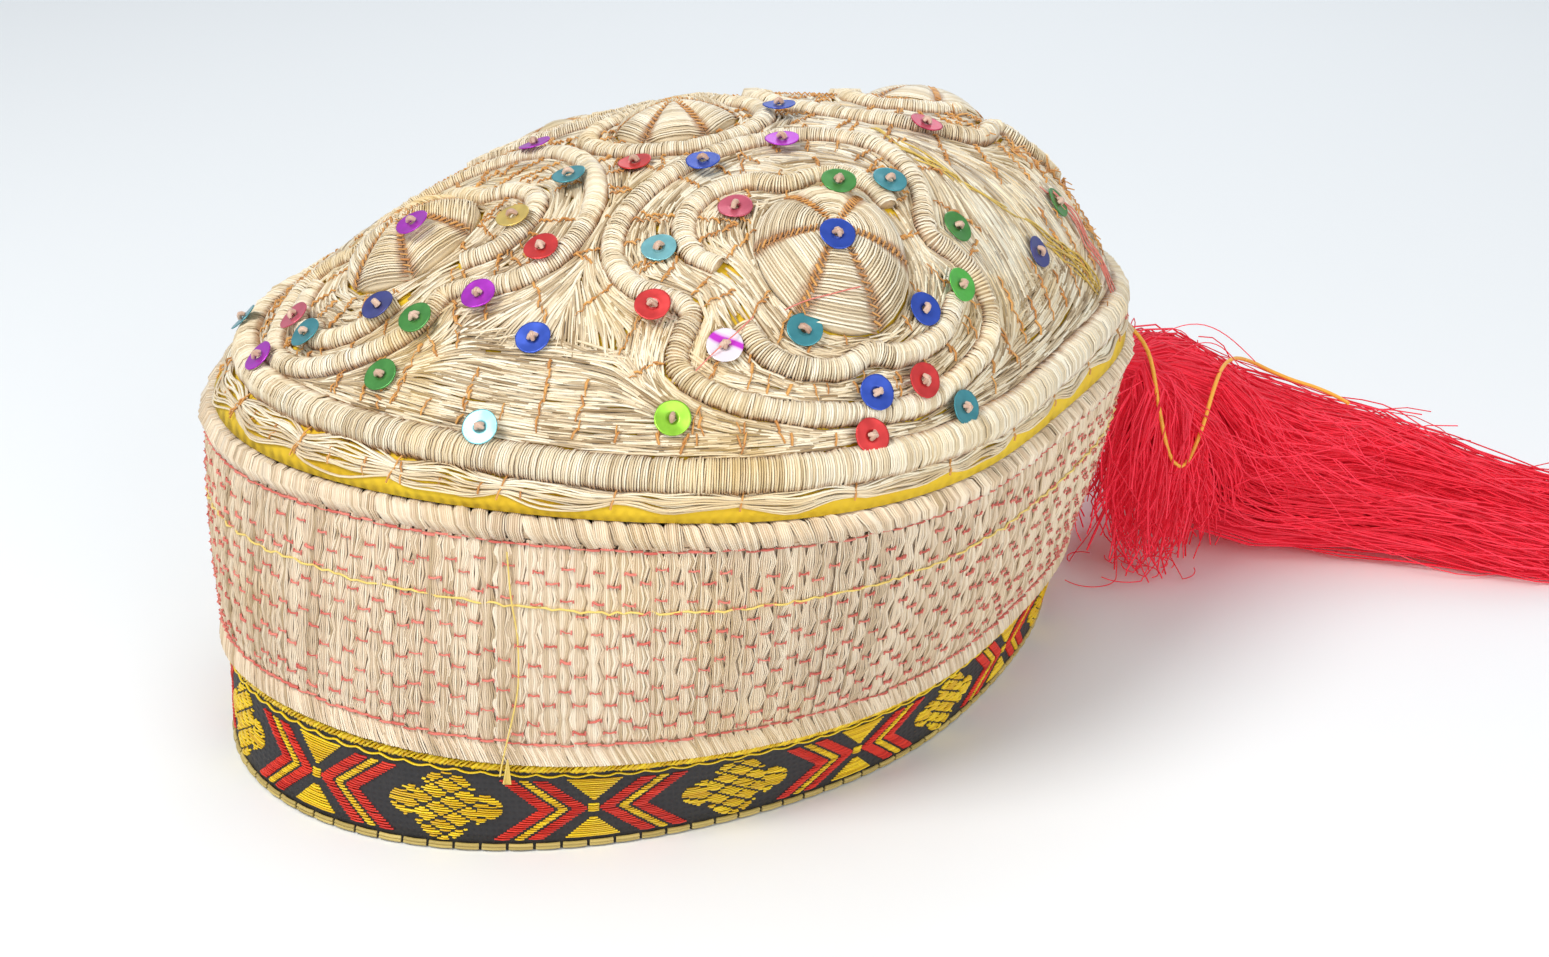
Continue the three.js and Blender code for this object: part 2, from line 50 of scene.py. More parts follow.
# the cap's own shape, in millimetres, as the part's source has it
rimOval = {"x": 0, "y": 0, "radius": 85.9, "turn": 46.5, "oval": 0.177, "egg": 0.014, "square": 0.028}
seamOval = {"x": 3.5, "y": -5.4, "radius": 91.5, "turn": 28.6, "oval": 0.062, "egg": 0.036, "square": 0.04}
crownShape = {"seam": 68, "rise": 51, "peakX": 44, "peakY": -4, "share": 0.7, "round": 2.23, "flat": 4.28}
ribbonShape = {"height": 20.2, "length": 560.0, "cornerBearing": 222, "cornerRise": 3.6, "cornerWidth": 26}
mm = 0.001
fullTurn = 2 * np.pi


def unit(vectors):
    return vectors / np.linalg.norm(vectors, axis=-1, keepdims=True)


# the length of a line up to each of its points
def runAlong(line):
    return np.concatenate([[0], np.cumsum(np.linalg.norm(np.diff(line, axis=0), axis=1))])


def ease(t):
    return t * t * (3 - 2 * t)


def ovalPoint(oval, bearing):
    turned = bearing - math.radians(oval["turn"])
    waves = oval["oval"] * np.cos(2 * turned) + oval["egg"] * np.cos(3 * turned)
    reach = oval["radius"] * (1 + waves + oval["square"] * np.cos(4 * turned))
    return np.stack([reach * np.cos(bearing) + oval["x"], reach * np.sin(bearing) + oval["y"]], -1)


# a point of the side wall, moved out by proud along the wall's level normal
def wallPoint(bearing, height, proud=0.0):
    bearing, height, proud = np.broadcast_arrays(bearing, height, proud)
    share = (height / crownShape["seam"])[..., None]

    def level(angle):
        return ovalPoint(rimOval, angle) * (1 - share) + ovalPoint(seamOval, angle) * share

    along = unit(level(bearing + 0.01) - level(bearing - 0.01))
    flat = level(bearing) + np.stack([along[..., 1], -along[..., 0]], -1) * proud[..., None]
    return np.concatenate([flat, height[..., None]], -1)


peakSpot = np.array([crownShape["peakX"], crownShape["peakY"]], float)
seamRound = np.linspace(0, fullTurn, 2049)
seamFromPeak = ovalPoint(seamOval, seamRound) - peakSpot
seamTurn = np.unwrap(np.arctan2(seamFromPeak[:, 1], seamFromPeak[:, 0]))
seamReach = np.hypot(seamFromPeak[:, 0], seamFromPeak[:, 1])


# how far out a plan point lies between the crown's peak, 0, and its seam, 1
def shareAt(x, y):
    turn = np.mod(np.arctan2(y - peakSpot[1], x - peakSpot[0]) - seamTurn[0], fullTurn)
    return np.hypot(x - peakSpot[0], y - peakSpot[1]) / np.interp(turn, seamTurn - seamTurn[0], seamReach)


def crownHeight(x, y):
    out, share = shareAt(x, y), crownShape["share"]
    fall = share * out ** crownShape["round"] + (1 - share) * out ** crownShape["flat"]
    return crownShape["seam"] + crownShape["rise"] * (1 - fall)


# points over plan points, lifted along the crown's outward normal, and those normals
def crownPlace(x, y, lift=0.0):
    x, y, lift = np.broadcast_arrays(np.asarray(x, float), np.asarray(y, float), np.asarray(lift, float))
    step = 0.05
    slopeX = (crownHeight(x + step, y) - crownHeight(x - step, y)) / (2 * step)
    slopeY = (crownHeight(x, y + step) - crownHeight(x, y - step)) / (2 * step)
    normal = unit(np.stack([-slopeX, -slopeY, np.ones_like(slopeX)], -1))
    return np.stack([x, y, crownHeight(x, y)], -1) + normal * lift[..., None], normal


# the same for a list of plan points, without the normals
def onCrown(plan, lift=0.0):
    return crownPlace(plan[:, 0], plan[:, 1], lift)[0]


def crownPoint(bearing, share):
    edge = ovalPoint(seamOval, np.asarray(bearing, float))
    return peakSpot + (edge - peakSpot) * np.asarray(share, float)[..., None]


def ribbonTop(bearing):
    away = np.mod(bearing - math.radians(ribbonShape["cornerBearing"]) + np.pi, fullTurn) - np.pi
    near = away / math.radians(ribbonShape["cornerWidth"])
    return ribbonShape["height"] + ribbonShape["cornerRise"] * np.exp(-near * near)


wallRound = np.linspace(0, fullTurn, 4001)


# bearings round the wall at even steps along it, and the length of one round
def evenBearings(height, count):
    run = runAlong(wallPoint(wallRound, np.full(wallRound.shape, float(height))))
    return np.interp(np.arange(count) / count * run[-1], run, wallRound), run[-1]


# a smooth line through control points, resampled at even steps
def smoothLine(points, closed, step):
    p = np.asarray(points, float)
    count = len(p)

    def pick(i):
        return p[i % count] if closed else p[min(max(i, 0), count - 1)]

    fine = []
    for i in range(count if closed else count - 1):
        a, b, c, d = pick(i - 1), pick(i), pick(i + 1), pick(i + 2)
        for t in np.linspace(0, 1, 13)[:-1]:
            bend = (2 * a - 5 * b + 4 * c - d) * t * t + (3 * b - a - 3 * c + d) * t ** 3
            fine.append(0.5 * (2 * b + (c - a) * t + bend))
    fine.append(p[0] if closed else p[-1])
    fine = np.array(fine)
    run = runAlong(fine)
    places = np.linspace(0, run[-1], max(2, int(round(run[-1] / step))) + 1)
    if closed:
        places = places[:-1]
    return np.stack([np.interp(places, run, fine[:, k]) for k in range(p.shape[1])], -1)


def tangents(line, closed):
    return unit(np.roll(line, -1, 0) - np.roll(line, 1, 0) if closed else np.gradient(line, axis=0))


# a shader socket that sums work on
class Wire:
    def __init__(self, kit, socket):
        self.kit, self.socket = kit, socket

    def sum(self, operation, first, second):
        return self.kit.node("ShaderNodeMath", {"operation": operation}, {0: first, 1: second})[0]

    def __add__(self, other):
        return self.sum("ADD", self, other)

    def __sub__(self, other):
        return self.sum("SUBTRACT", self, other)

    def __rsub__(self, other):
        return self.sum("SUBTRACT", other, self)

    def __mul__(self, other):
        return self.sum("MULTIPLY", self, other)

    __radd__ = __add__
    __rmul__ = __mul__


class Shade:
    def __init__(self, name):
        self.material = bpy.data.materials.new(name)
        self.material.use_nodes = True
        self.tree = self.material.node_tree
        self.tree.nodes.clear()
        self.out = self.tree.nodes.new("ShaderNodeOutputMaterial")

    def node(self, kind, settings=None, values=None):
        made = self.tree.nodes.new(kind)
        for key, value in (settings or {}).items():
            setattr(made, key, value)
        for key, value in (values or {}).items():
            if isinstance(value, Wire):
                self.tree.links.new(value.socket, made.inputs[key])
            else:
                made.inputs[key].default_value = value
        return [Wire(self, socket) for socket in made.outputs]

    def mix(self, factor, first, second):
        first, second = (color if isinstance(color, Wire) else (*color, 1) for color in (first, second))
        return self.node("ShaderNodeMix", {"data_type": "RGBA"}, {0: factor, 6: first, 7: second})[2]

    def noise(self, place, scale, detail=2.0):
        return self.node("ShaderNodeTexNoise", None, {"Vector": place, "Scale": scale, "Detail": detail})[0]

    def wave(self, place, scale, distortion, direction):
        values = {"Vector": place, "Scale": scale, "Distortion": distortion}
        return self.node("ShaderNodeTexWave", {"bands_direction": direction}, values)[1]

    def place(self):
        return self.node("ShaderNodeTexCoord")[3]

    def attribute(self, name):
        return self.node("ShaderNodeAttribute", {"attribute_name": name})[2]

    def ramp(self, factor, stops):
        color = self.node("ShaderNodeValToRGB", None, {"Fac": factor})[0]
        elements = color.socket.node.color_ramp.elements
        while len(elements) < len(stops):
            elements.new(0.5)
        for element, (place, shade) in zip(elements, stops):
            element.position = place
            element.color = (*shade, 1)
        return color

    # how far a value is between two stops, from 0 to 1
    def between(self, factor, low, high):
        grey = self.ramp(factor, [(low, (0, 0, 0)), (high, (1, 1, 1))])
        return self.node("ShaderNodeRGBToBW", None, {0: grey})[0]

    def finish(self, color, roughness, bump=None, strength=0.4, depth=0.0002, **plain):
        values = {"Base Color": color, "Roughness": roughness}
        for key, value in plain.items():
            values[key.replace("_", " ")] = value
        if bump is not None:
            raised = {"Strength": strength, "Distance": depth, "Height": bump}
            values["Normal"] = self.node("ShaderNodeBump", None, raised)[0]
        made = self.node("ShaderNodeBsdfPrincipled", None, values)
        self.tree.links.new(made[0].socket, self.out.inputs["Surface"])
        return self.material


# floss: every thread has its own tint, and the feet of the stitches, where the threads go down into the cloth,
# are painted a darker brown: partly the stain seen there, partly painted shade in those creases
def flossFinish(name, dark, middle, light, stainAndShade, stainAndShadeEdge=0.55, roughness=0.42, golden=0.45):
    s = Shade(name)
    spot = s.place()
    blotch = s.attribute("tint") * 0.62 + s.noise(spot, 90, 3) * 0.38
    tone = s.ramp(blotch, [(0.22, dark), (0.5, middle), (0.78, light)])
    patches = s.between(s.noise(spot, 34, 3), 0.5, 0.72)
    tone = s.mix(patches * golden, tone, (0.8, 0.54, 0.14))
    # the foot attribute darkens the threads' feet: partly stain, partly painted shade where they go down
    stainedAndShaded = s.attribute("foot") * (s.noise(spot, 700, 2) * 0.9 + 0.45)
    color = s.mix(s.between(stainedAndShaded, stainAndShadeEdge - 0.12, stainAndShadeEdge + 0.25) * 0.85, tone, stainAndShade)
    fibre = s.noise(spot, 2600, 2)
    rough = fibre * 0.25 + (roughness - 0.1)
    return s.finish(color, rough, fibre, 0.35, 0.00012, Sheen_Weight=0.25, Sheen_Roughness=0.4)


# plain woven cloth for what shows between the threads and inside the cap
def clothFinish(name, warp, weft, count=900):
    s = Shade(name)
    spot = s.place()
    weave = s.wave(spot, count / 6.0, 1.2, "X") * s.wave(spot, count / 6.0, 1.2, "Z")
    color = s.mix(s.noise(spot, 60, 3), warp, weft)
    return s.finish(color, weave * 0.15 + 0.7, weave, 0.5, 0.00025)


# paintedGlow is painted light: the colour also shines as emission and lifts the shade
def plainThread(name, dark, light, roughness=0.5, sheen=0.15, paintedGlow=0.0):
    s = Shade(name)
    fibre = s.noise(s.place(), 2200, 2)
    color = s.mix(s.attribute("tint") * 0.7 + fibre * 0.3, dark, light)
    lit = {"Emission_Color": color, "Emission_Strength": paintedGlow} if paintedGlow else {}
    return s.finish(color, fibre * 0.2 + (roughness - 0.1), fibre, 0.35, 0.0001, Sheen_Weight=sheen, **lit)


def foilFinish(name, color):
    s = Shade(name)
    spot = s.place()
    worn = s.noise(spot, 420, 3)
    fade = s.mix(worn, tuple(c * 0.72 for c in color), tuple(min(1, c * 1.25 + 0.02) for c in color))
    dent = s.noise(spot, 260, 2)
    return s.finish(fade, worn * 0.28 + 0.2, dent, 0.25, 0.0003, Metallic=0.5, Coat_Weight=0.15)


# one foil's colour runs in diagonal streaks from silvery white to deep magenta: the magenta is its own colour,
# the silvery white streaks are a painted reflection
def shinyFinish(name):
    s = Shade(name)
    streak = s.wave(s.place(), 62.0, 4.0, "DIAGONAL")
    color = s.ramp(streak, [(0.7, (0.88, 0.82, 0.9)), (0.86, (0.84, 0.5, 0.85)), (0.95, (0.6, 0.03, 0.62))])
    return s.finish(color, 0.2, None, Metallic=0.3, Coat_Weight=0.5)


laidTones = ((0.3, 0.19, 0.08), (0.8, 0.65, 0.43), (0.96, 0.88, 0.69), (0.5, 0.21, 0.05))
satinTones = ((0.5, 0.37, 0.2), (0.83, 0.7, 0.49), (0.95, 0.87, 0.7), (0.36, 0.15, 0.04))
bandTones = ((0.46, 0.33, 0.18), (0.76, 0.6, 0.42), (0.9, 0.78, 0.6), (0.55, 0.26, 0.16))
finishes = {
    "laid": flossFinish("laidFloss", *laidTones, 0.72),
    "satin": flossFinish("satinFloss", *satinTones, 0.42, 0.36),
    "band": flossFinish("bandFloss", *bandTones, 0.8, 0.38, 0.2),
    "ground": clothFinish("yellowGround", (0.72, 0.42, 0.01), (0.9, 0.66, 0.03)),
    "inside": clothFinish("insideCloth", (0.5, 0.38, 0.24), (0.62, 0.5, 0.34)),
    "charcoal": clothFinish("charcoalWeave", (0.012, 0.012, 0.014), (0.03, 0.028, 0.03), 1500),
    "couching": plainThread("couchingThread", (0.46, 0.17, 0.03), (0.78, 0.4, 0.1)),
    "redThread": plainThread("redStitchThread", (0.55, 0.07, 0.05), (0.82, 0.26, 0.2)),
    "yellowThread": plainThread("yellowThread", (0.72, 0.5, 0.09), (0.88, 0.68, 0.2)),
    "goldenThread": plainThread("goldenThread", (0.5, 0.31, 0.03), (0.84, 0.6, 0.1)),
    "orange": plainThread("orangeThread", (0.8, 0.33, 0.02), (0.95, 0.52, 0.06)),
    "gold": plainThread("goldFloat", (0.62, 0.33, 0.002), (1.0, 0.74, 0.02), 0.3, 0.0),
    "redFloat": plainThread("redFloat", (0.48, 0.008, 0.006), (0.86, 0.05, 0.02), 0.42, 0.0),
    "khaki": plainThread("khakiEdge", (0.36, 0.26, 0.06), (0.62, 0.48, 0.15), 0.5),
    # the tassel's floss glows with painted light that lifts its shade
    "tassel": plainThread("tasselFloss", (0.6, 0.004, 0.02), (1.0, 0.04, 0.085), 0.6, 0.0, 0.17),
    # the tassel's core is painted shade: a dark red that shows between the strands
    "tasselPaintedShade": plainThread("tasselPaintedShade", (0.3, 0.002, 0.008), (0.55, 0.006, 0.02), 0.8, 0.0),
    "knot": plainThread("knotThread", (0.38, 0.2, 0.13), (0.72, 0.52, 0.4)),
}
print("materials made")


def linked(name, data):
    made = bpy.data.objects.new(name, data)
    bpy.context.scene.collection.objects.link(made)
    return made


def settle(piece, stands=()):
    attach(piece, "root")
    if stands:
        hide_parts(*stands)
    return piece


# values are plain numbers kept as attributes; pick says which faces have the second finish
def addPiece(name, verts, faces, material, slotName, stands=(), values=None, second=None, pick=None):
    mesh = bpy.data.meshes.new(name)
    mesh.from_pydata([tuple(v) for v in np.asarray(verts, float) * mm], [], faces)
    mesh.materials.append(material)
    if second is not None:
        mesh.materials.append(second)
        mesh.polygons.foreach_set("material_index", pick)
    for key, value in (values or {}).items():
        layer = mesh.attributes.new(key, "FLOAT", "POINT")
        layer.data.foreach_set("value", np.full(len(verts), value, np.float32))
    mesh.shade_smooth()
    mesh.update()
    return settle(linked(name, mesh), stands)


# a tube swept along every line of a wire mesh, as thick as the wire's own girth
def threadTree():
    tree = bpy.data.node_groups.new("sweptThreads", "GeometryNodeTree")
    inputs = {"Wire": "Geometry", "Sides": "Int", "Thickness": "Float", "Finish": "Material"}
    for name, kind in inputs.items():
        tree.interface.new_socket(name, in_out="INPUT", socket_type="NodeSocket" + kind)
    tree.interface.new_socket("Threads", in_out="OUTPUT", socket_type="NodeSocketGeometry")
    add = tree.nodes.new
    given, made = add("NodeGroupInput"), add("NodeGroupOutput")
    line = add("GeometryNodeMeshToCurve")
    girth = add("GeometryNodeInputNamedAttribute")
    girth.data_type = "FLOAT"
    girth.inputs["Name"].default_value = "girth"
    grow = add("ShaderNodeMath")
    grow.operation = "MULTIPLY"
    radius = add("GeometryNodeSetCurveRadius")
    ring = add("GeometryNodeCurvePrimitiveCircle")
    ring.inputs["Radius"].default_value = 1.0
    sweep = add("GeometryNodeCurveToMesh")
    sweep.inputs["Fill Caps"].default_value = True
    smooth = add("GeometryNodeSetShadeSmooth")
    real = add("GeometryNodeRealizeInstances")
    paint = add("GeometryNodeSetMaterial")
    joins = [
        (given.outputs["Wire"], line.inputs["Mesh"]),
        (line.outputs["Curve"], radius.inputs["Curve"]),
        (girth.outputs["Attribute"], grow.inputs[0]),
        (given.outputs["Thickness"], grow.inputs[1]),
        (grow.outputs[0], radius.inputs["Radius"]),
        (given.outputs["Sides"], ring.inputs["Resolution"]),
        (radius.outputs["Curve"], sweep.inputs["Curve"]),
        (ring.outputs["Curve"], sweep.inputs["Profile Curve"]),
        (sweep.outputs["Mesh"], smooth.inputs["Geometry"]),
        (smooth.outputs["Geometry"], real.inputs["Geometry"]),
        (real.outputs["Geometry"], paint.inputs["Geometry"]),
        (given.outputs["Finish"], paint.inputs["Material"]),
        (paint.outputs["Geometry"], made.inputs["Threads"]),
    ]
    if "Scale" in sweep.inputs:
        joins.append((grow.outputs[0], sweep.inputs["Scale"]))
    for source, target in joins:
        tree.links.new(source, target)
    return tree


threads = threadTree()


# one line to sweep; girth, tint and foot are a number or one for each point
def strand(points, girth=1.0, tint=0.5, foot=0.0):
    return {"points": points, "girth": girth, "tint": tint, "foot": foot}


def sweptMesh(name, lines, thickness, material, sides):
    counts = [len(line["points"]) for line in lines]
    verts = np.concatenate([line["points"] for line in lines]) * mm
    keep = np.ones(len(verts) - 1, bool)
    keep[np.cumsum(counts)[:-1] - 1] = False
    wire = bpy.data.meshes.new(name + "Wire")
    wire.from_pydata([tuple(v) for v in verts], [(int(e), int(e) + 1) for e in np.flatnonzero(keep)], [])
    for key in ("girth", "tint", "foot"):
        data = [np.broadcast_to(line[key], (count,)) for line, count in zip(lines, counts)]
        layer = wire.attributes.new(key, "FLOAT", "POINT")
        layer.data.foreach_set("value", np.concatenate(data).astype(np.float32))
    carrier = linked(name + "Carrier", wire)
    sweep = carrier.modifiers.new("threads", "NODES")
    sweep.node_group = threads
    sockets = {item.name: item.identifier for item in threads.interface.items_tree}
    sweep[sockets["Sides"]] = sides
    sweep[sockets["Thickness"]] = thickness * mm / 2
    sweep[sockets["Finish"]] = material
    graph = bpy.context.evaluated_depsgraph_get()
    swept = carrier.evaluated_get(graph)
    mesh = bpy.data.meshes.new_from_object(swept, preserve_all_data_layers=True, depsgraph=graph)
    mesh.name = name
    bpy.data.objects.remove(carrier)
    bpy.data.meshes.remove(wire)
    return mesh


def addThreads(name, lines, thickness, material, stands=(), sides=3):
    piece = linked(name, sweptMesh(name, lines, thickness, material, sides))
    print(name, len(lines), "threads", len(piece.data.polygons), "faces")
    return settle(piece, stands)


def joinInto(piece, other):
    bpy.ops.object.select_all(action="DESELECT")
    other.select_set(True)
    piece.select_set(True)
    bpy.context.view_layer.objects.active = piece
    bpy.ops.object.join()


# faces of a grid of rows, each closed round itself; looped joins the last row to the first
def gridFaces(rows, count, looped):
    faces = []
    for row in range(rows if looped else rows - 1):
        a, b = row * count, ((row + 1) % rows) * count
        for i in range(count):
            j = (i + 1) % count
            faces.append((a + i, a + j, b + j, b + i))
    return faces


# the two flat ends of such a grid
def endFaces(rows, count):
    return [tuple(range(count - 1, -1, -1)), tuple(range((rows - 1) * count, rows * count))]


def volumeOf(verts, faces):
    total = 0.0
    for face in faces:
        for k in range(1, len(face) - 1):
            total += float(np.dot(verts[face[0]], np.cross(verts[face[k]], verts[face[k + 1]])))
    return total


def outward(verts, faces):
    return [tuple(reversed(face)) for face in faces] if volumeOf(verts, faces) < 0 else faces


# the camera, at the photograph's angle; the focal length and shifts are in the photograph's pixels
cameraView = {
    "x": 10.365, "y": -457.841, "z": 229.604, "yaw": 0.0165, "pitch": 0.4065, "roll": 0.0111,
    "focal": 2288.93, "shiftX": 30.41, "shiftY": 24.04, "across": 1549, "sensor": 36,
}


def addCamera():
    camera = linked("camera", bpy.data.cameras.new("camera"))
    yaw, pitch, roll = cameraView["yaw"], cameraView["pitch"], cameraView["roll"]
    forward = Vector((math.sin(yaw) * math.cos(pitch), math.cos(yaw) * math.cos(pitch), -math.sin(pitch)))
    level = Vector((math.cos(yaw), -math.sin(yaw), 0))
    above = level.cross(forward)
    right = level * math.cos(roll) + above * math.sin(roll)
    up = above * math.cos(roll) - level * math.sin(roll)
    place = [cameraView[axis] * mm for axis in "xyz"]
    rows = [(right[k], up[k], -forward[k], place[k]) for k in range(3)]
    camera.matrix_world = Matrix((*rows, (0, 0, 0, 1)))
    camera.data.sensor_width = cameraView["sensor"]
    camera.data.lens = cameraView["sensor"] * cameraView["focal"] / cameraView["across"]
    camera.data.shift_x = cameraView["shiftX"] / cameraView["across"]
    camera.data.shift_y = cameraView["shiftY"] / cameraView["across"]
    camera.data.clip_start, camera.data.clip_end = 0.01, 10
    bpy.context.scene.camera = camera


addCamera()

# a loose orange thread that hangs from the band and lies over the tassel
looseThread = {"diameter": 0.95, "bearing": 23.5, "height": 62, "proud": 1.2, "step": 2.2, "route": [
    (104, 38.5, 61.8), (108.5, 36.6, 58.4), (111, 33.4, 53.6), (113, 29.4, 43.4), (115, 27.8, 35.4),
    (116.7, 27, 31.6), (118.9, 27.4, 30.2), (121.6, 30.8, 31.8), (124.3, 33.6, 38), (127.4, 39.4, 45),
    (131, 47.6, 47.4), (135.6, 55.6, 46.6), (141.2, 62, 43.4), (147.2, 66, 39.6), (153, 67.6, 36.8),
    (158.5, 67, 35.2), (162.5, 63.6, 34.4), (165, 59, 34),
]}
start = wallPoint(math.radians(looseThread["bearing"]), float(looseThread["height"]), looseThread["proud"])
path = smoothLine(np.concatenate([start[None], looseThread["route"]]), False, looseThread["step"])
piece = addThreads(
    "loose_orange_thread", [strand(path)], looseThread["diameter"], finishes["orange"], (), 8)
tuple(path[0] * mm)
[tuple(p * mm) for p in path]

# where the raised cords run, as in the part's source
edgeShares = np.array([0.925, 0.92, 0.935, 0.94, 0.935, 0.929, 0.941, 0.938])
medallions = {
    "front_right": {"bearing": -60, "stretch": 1, "size": 1, "lobes": 1, "bossOut": 59, "mirror": 1},
    "back_right": {"bearing": 32, "stretch": 1.14, "size": 0.94, "lobes": 0.82, "bossOut": 61.5, "mirror": 1},
    "back_left": {"bearing": 120, "stretch": 0.93, "size": 0.94, "lobes": 0.95, "bossOut": 55.5, "mirror": 1},
    "front_left": {"bearing": 208, "stretch": 1.06, "size": 0.92, "lobes": 0.78, "bossOut": 56.5, "mirror": -1},
}
outerCordRows = [
    (22.6, 0), (24, 10), (28, 17.5), (33, 21.8), (39, 24.3), (46, 24.8), (52, 23.2), (57, 20.6), (60, 20.4),
    (61.6, 23.4), (64, 27.4), (67.5, 28.6), (71.5, 25.4), (75, 20), (78.4, 12.6), (80.6, 5.4), (81.2, -1.5),
    (80.4, -9.5), (78, -18), (74, -25.4), (70, -30.4), (66, -33.6), (62.3, -34.6), (59.4, -32), (57.4, -29),
    (54.6, -29.2), (51, -31.6), (45.8, -34.8), (39, -34.8), (33, -31), (27.5, -23), (23.8, -11.6),
]
innerArcs = {
    "upper": [(52, -20.4), (47, -22.8), (41, -21.4), (36.8, -17), (35.2, -11), (36.6, -4.6), (40.2, -1),
              (41.4, 2.6), (41.4, 7.4), (44.4, 12), (49, 14.6), (53.4, 15)],
    "lower": [(63.6, -22), (68.4, -20.8), (72, -17.6), (74.4, -12.8), (75.4, -7.8), (74.8, -3), (75.8, 2),
              (75, 8.4), (72.6, 14.6), (68.6, 19.8)],
}
innerEnd = outerCordRows[0][0]
lobesStart = {"out": 50, "over": 12}
bossShape = {"side": -1, "radius": 13.9, "height": 7, "backHeight": 4.2, "segments": 6, "turn": 5}
centreShape = {"ring": 17.6, "boss": 12.2, "bossHeight": 5.6}


def edgeShare(degrees):
    place = np.mod(degrees, 360) / 45
    first = np.floor(place).astype(int) % 8
    blend = ease(place - np.floor(place))
    return edgeShares[first] * (1 - blend) + edgeShares[(first + 1) % 8] * blend


def medallionPoint(medallion, out, side):
    bearing = math.radians(medallion["bearing"])
    reach = innerEnd + (out - innerEnd) * medallion["stretch"]
    t = min(max((out - lobesStart["out"]) / lobesStart["over"], 0), 1)
    lobes = 1 + (medallion["lobes"] - 1) * ease(t)
    across = side * medallion["mirror"] * medallion["size"] * lobes
    return (
        seamOval["x"] + reach * math.cos(bearing) - across * math.sin(bearing),
        seamOval["y"] + reach * math.sin(bearing) + across * math.cos(bearing),
    )


cords, bosses = [], []


def planCord(node, plan, closed=True, width=4.5, height=2.6):
    cords.append({"node": node, "plan": plan, "closed": closed, "width": width, "height": height})


def planBoss(node, x, y, radius, turn, height):
    bosses.append({"node": node, "x": x, "y": y, "radius": radius, "turn": turn, "height": height})


edgeAngles = np.radians(np.arange(0, 360, 2.0))
planCord("crown_edge_cord", crownPoint(edgeAngles, edgeShare(np.degrees(edgeAngles))), True, 6.6, 3.4)
ringAngles = np.radians(np.arange(0, 360, 10))
ringPlan = np.stack([np.cos(ringAngles), np.sin(ringAngles)], -1) * centreShape["ring"]
planCord("centre_ring_cord", ringPlan + (seamOval["x"], seamOval["y"]))
planBoss("centre_boss", seamOval["x"], seamOval["y"], centreShape["boss"], 0.0, centreShape["bossHeight"])
for name, medallion in medallions.items():
    planCord("outer_cord_" + name, [medallionPoint(medallion, *row) for row in outerCordRows])
    for arcName, rows in innerArcs.items():
        plan = [medallionPoint(medallion, *row) for row in rows]
        planCord(f"inner_cord_{arcName}_{name}", plan, False)
    out = innerEnd + (medallion["bossOut"] - innerEnd) / medallion["stretch"]
    x, y = medallionPoint(medallion, out, bossShape["side"])
    turn = math.radians(medallion["bearing"] + bossShape["turn"])
    height = bossShape["height" if "front" in name else "backHeight"]
    planBoss("boss_" + name, x, y, bossShape["radius"] * medallion["size"], turn, height)

# satin cords: a padded core wrapped crosswise with floss, with fewer points where it isn't seen
satinCord = {
    "pitch": 0.44, "thread": 0.53, "arcPoints": 7, "backPoints": 4, "fineUpTo": 12, "over": 0.12,
    "slant": 0.45, "coreStep": 1.2, "coreFacets": 8,
}


def cordFrames(cord, step):
    line = smoothLine(cord["plan"], cord["closed"], step)
    points, normals = crownPlace(line[:, 0], line[:, 1])
    along = tangents(points, cord["closed"])
    return points, normals, along, unit(np.cross(normals, along))


def satinLines(cord, rng):
    points, normals, along, side = cordFrames(cord, satinCord["pitch"])
    lines = []
    count = len(points)
    swell = np.convolve(np.tile(rng.normal(0, 1, count), 3), np.ones(9) / 9, "same")[count:2 * count]
    for i in range(count):
        number = satinCord["arcPoints" if points[i][1] < satinCord["fineUpTo"] else "backPoints"]
        turns = np.linspace(-satinCord["over"], np.pi + satinCord["over"], number)
        wide = cord["width"] / 2 - 0.1 + 0.12 * rng.normal() + 0.25 * swell[i]
        high = cord["height"] - 0.25 + 0.1 * rng.normal() + 0.3 * swell[i]
        skew = satinCord["slant"] + 0.12 * rng.normal()
        row = points[i] + side[i] * (wide * np.cos(turns))[:, None]
        row = row + normals[i] * (0.3 + high * np.maximum(np.sin(turns), -0.1))[:, None]
        row = row + along[i] * (skew * np.cos(turns) * 0.5)[:, None]
        foot = np.abs(np.cos(turns)) ** 6
        lines.append(strand(row, girth=1 + 0.14 * rng.normal(), tint=rng.uniform(0.25, 0.95), foot=foot))
    return lines


def coreMesh(cord):
    points, normals, _, side = cordFrames(cord, satinCord["coreStep"])
    count = satinCord["coreFacets"]
    turns = np.linspace(0, np.pi, count)
    across = side[:, None] * ((cord["width"] / 2 - 0.35) * np.cos(turns))[None, :, None]
    rise = normals[:, None] * (0.25 + (cord["height"] - 0.5) * np.sin(turns))[None, :, None]
    verts = (points[:, None] + across + rise).reshape(-1, 3)
    faces = gridFaces(len(points), count, cord["closed"])
    if not cord["closed"]:
        faces += endFaces(len(points), count)
    return verts, outward(verts, faces)


for index, cord in enumerate(cords):
    lines = satinLines(cord, np.random.default_rng(100 + index))
    piece = addThreads(
        "satin_" + cord["node"], lines, satinCord["thread"], finishes["satin"], [cord["node"]])
    core = addPiece("core", *coreMesh(cord), finishes["satin"], "cord_floss", (), {"tint": 0.3, "foot": 0.5})
    joinInto(piece, core)
print("satin cords wrapped")

# bosses: padded segments of threads laid parallel to the rim, and a stitched spoke between each pair
bossThreads = {
    "thread": 0.52, "rows": 30, "points": 5, "spokeThread": 0.5, "spokeStitch": 0.95, "spokeStart": 1.6,
    "coreRings": 9, "coreAround": 48, "coreShare": 0.97,
}
sector = fullTurn / bossShape["segments"]


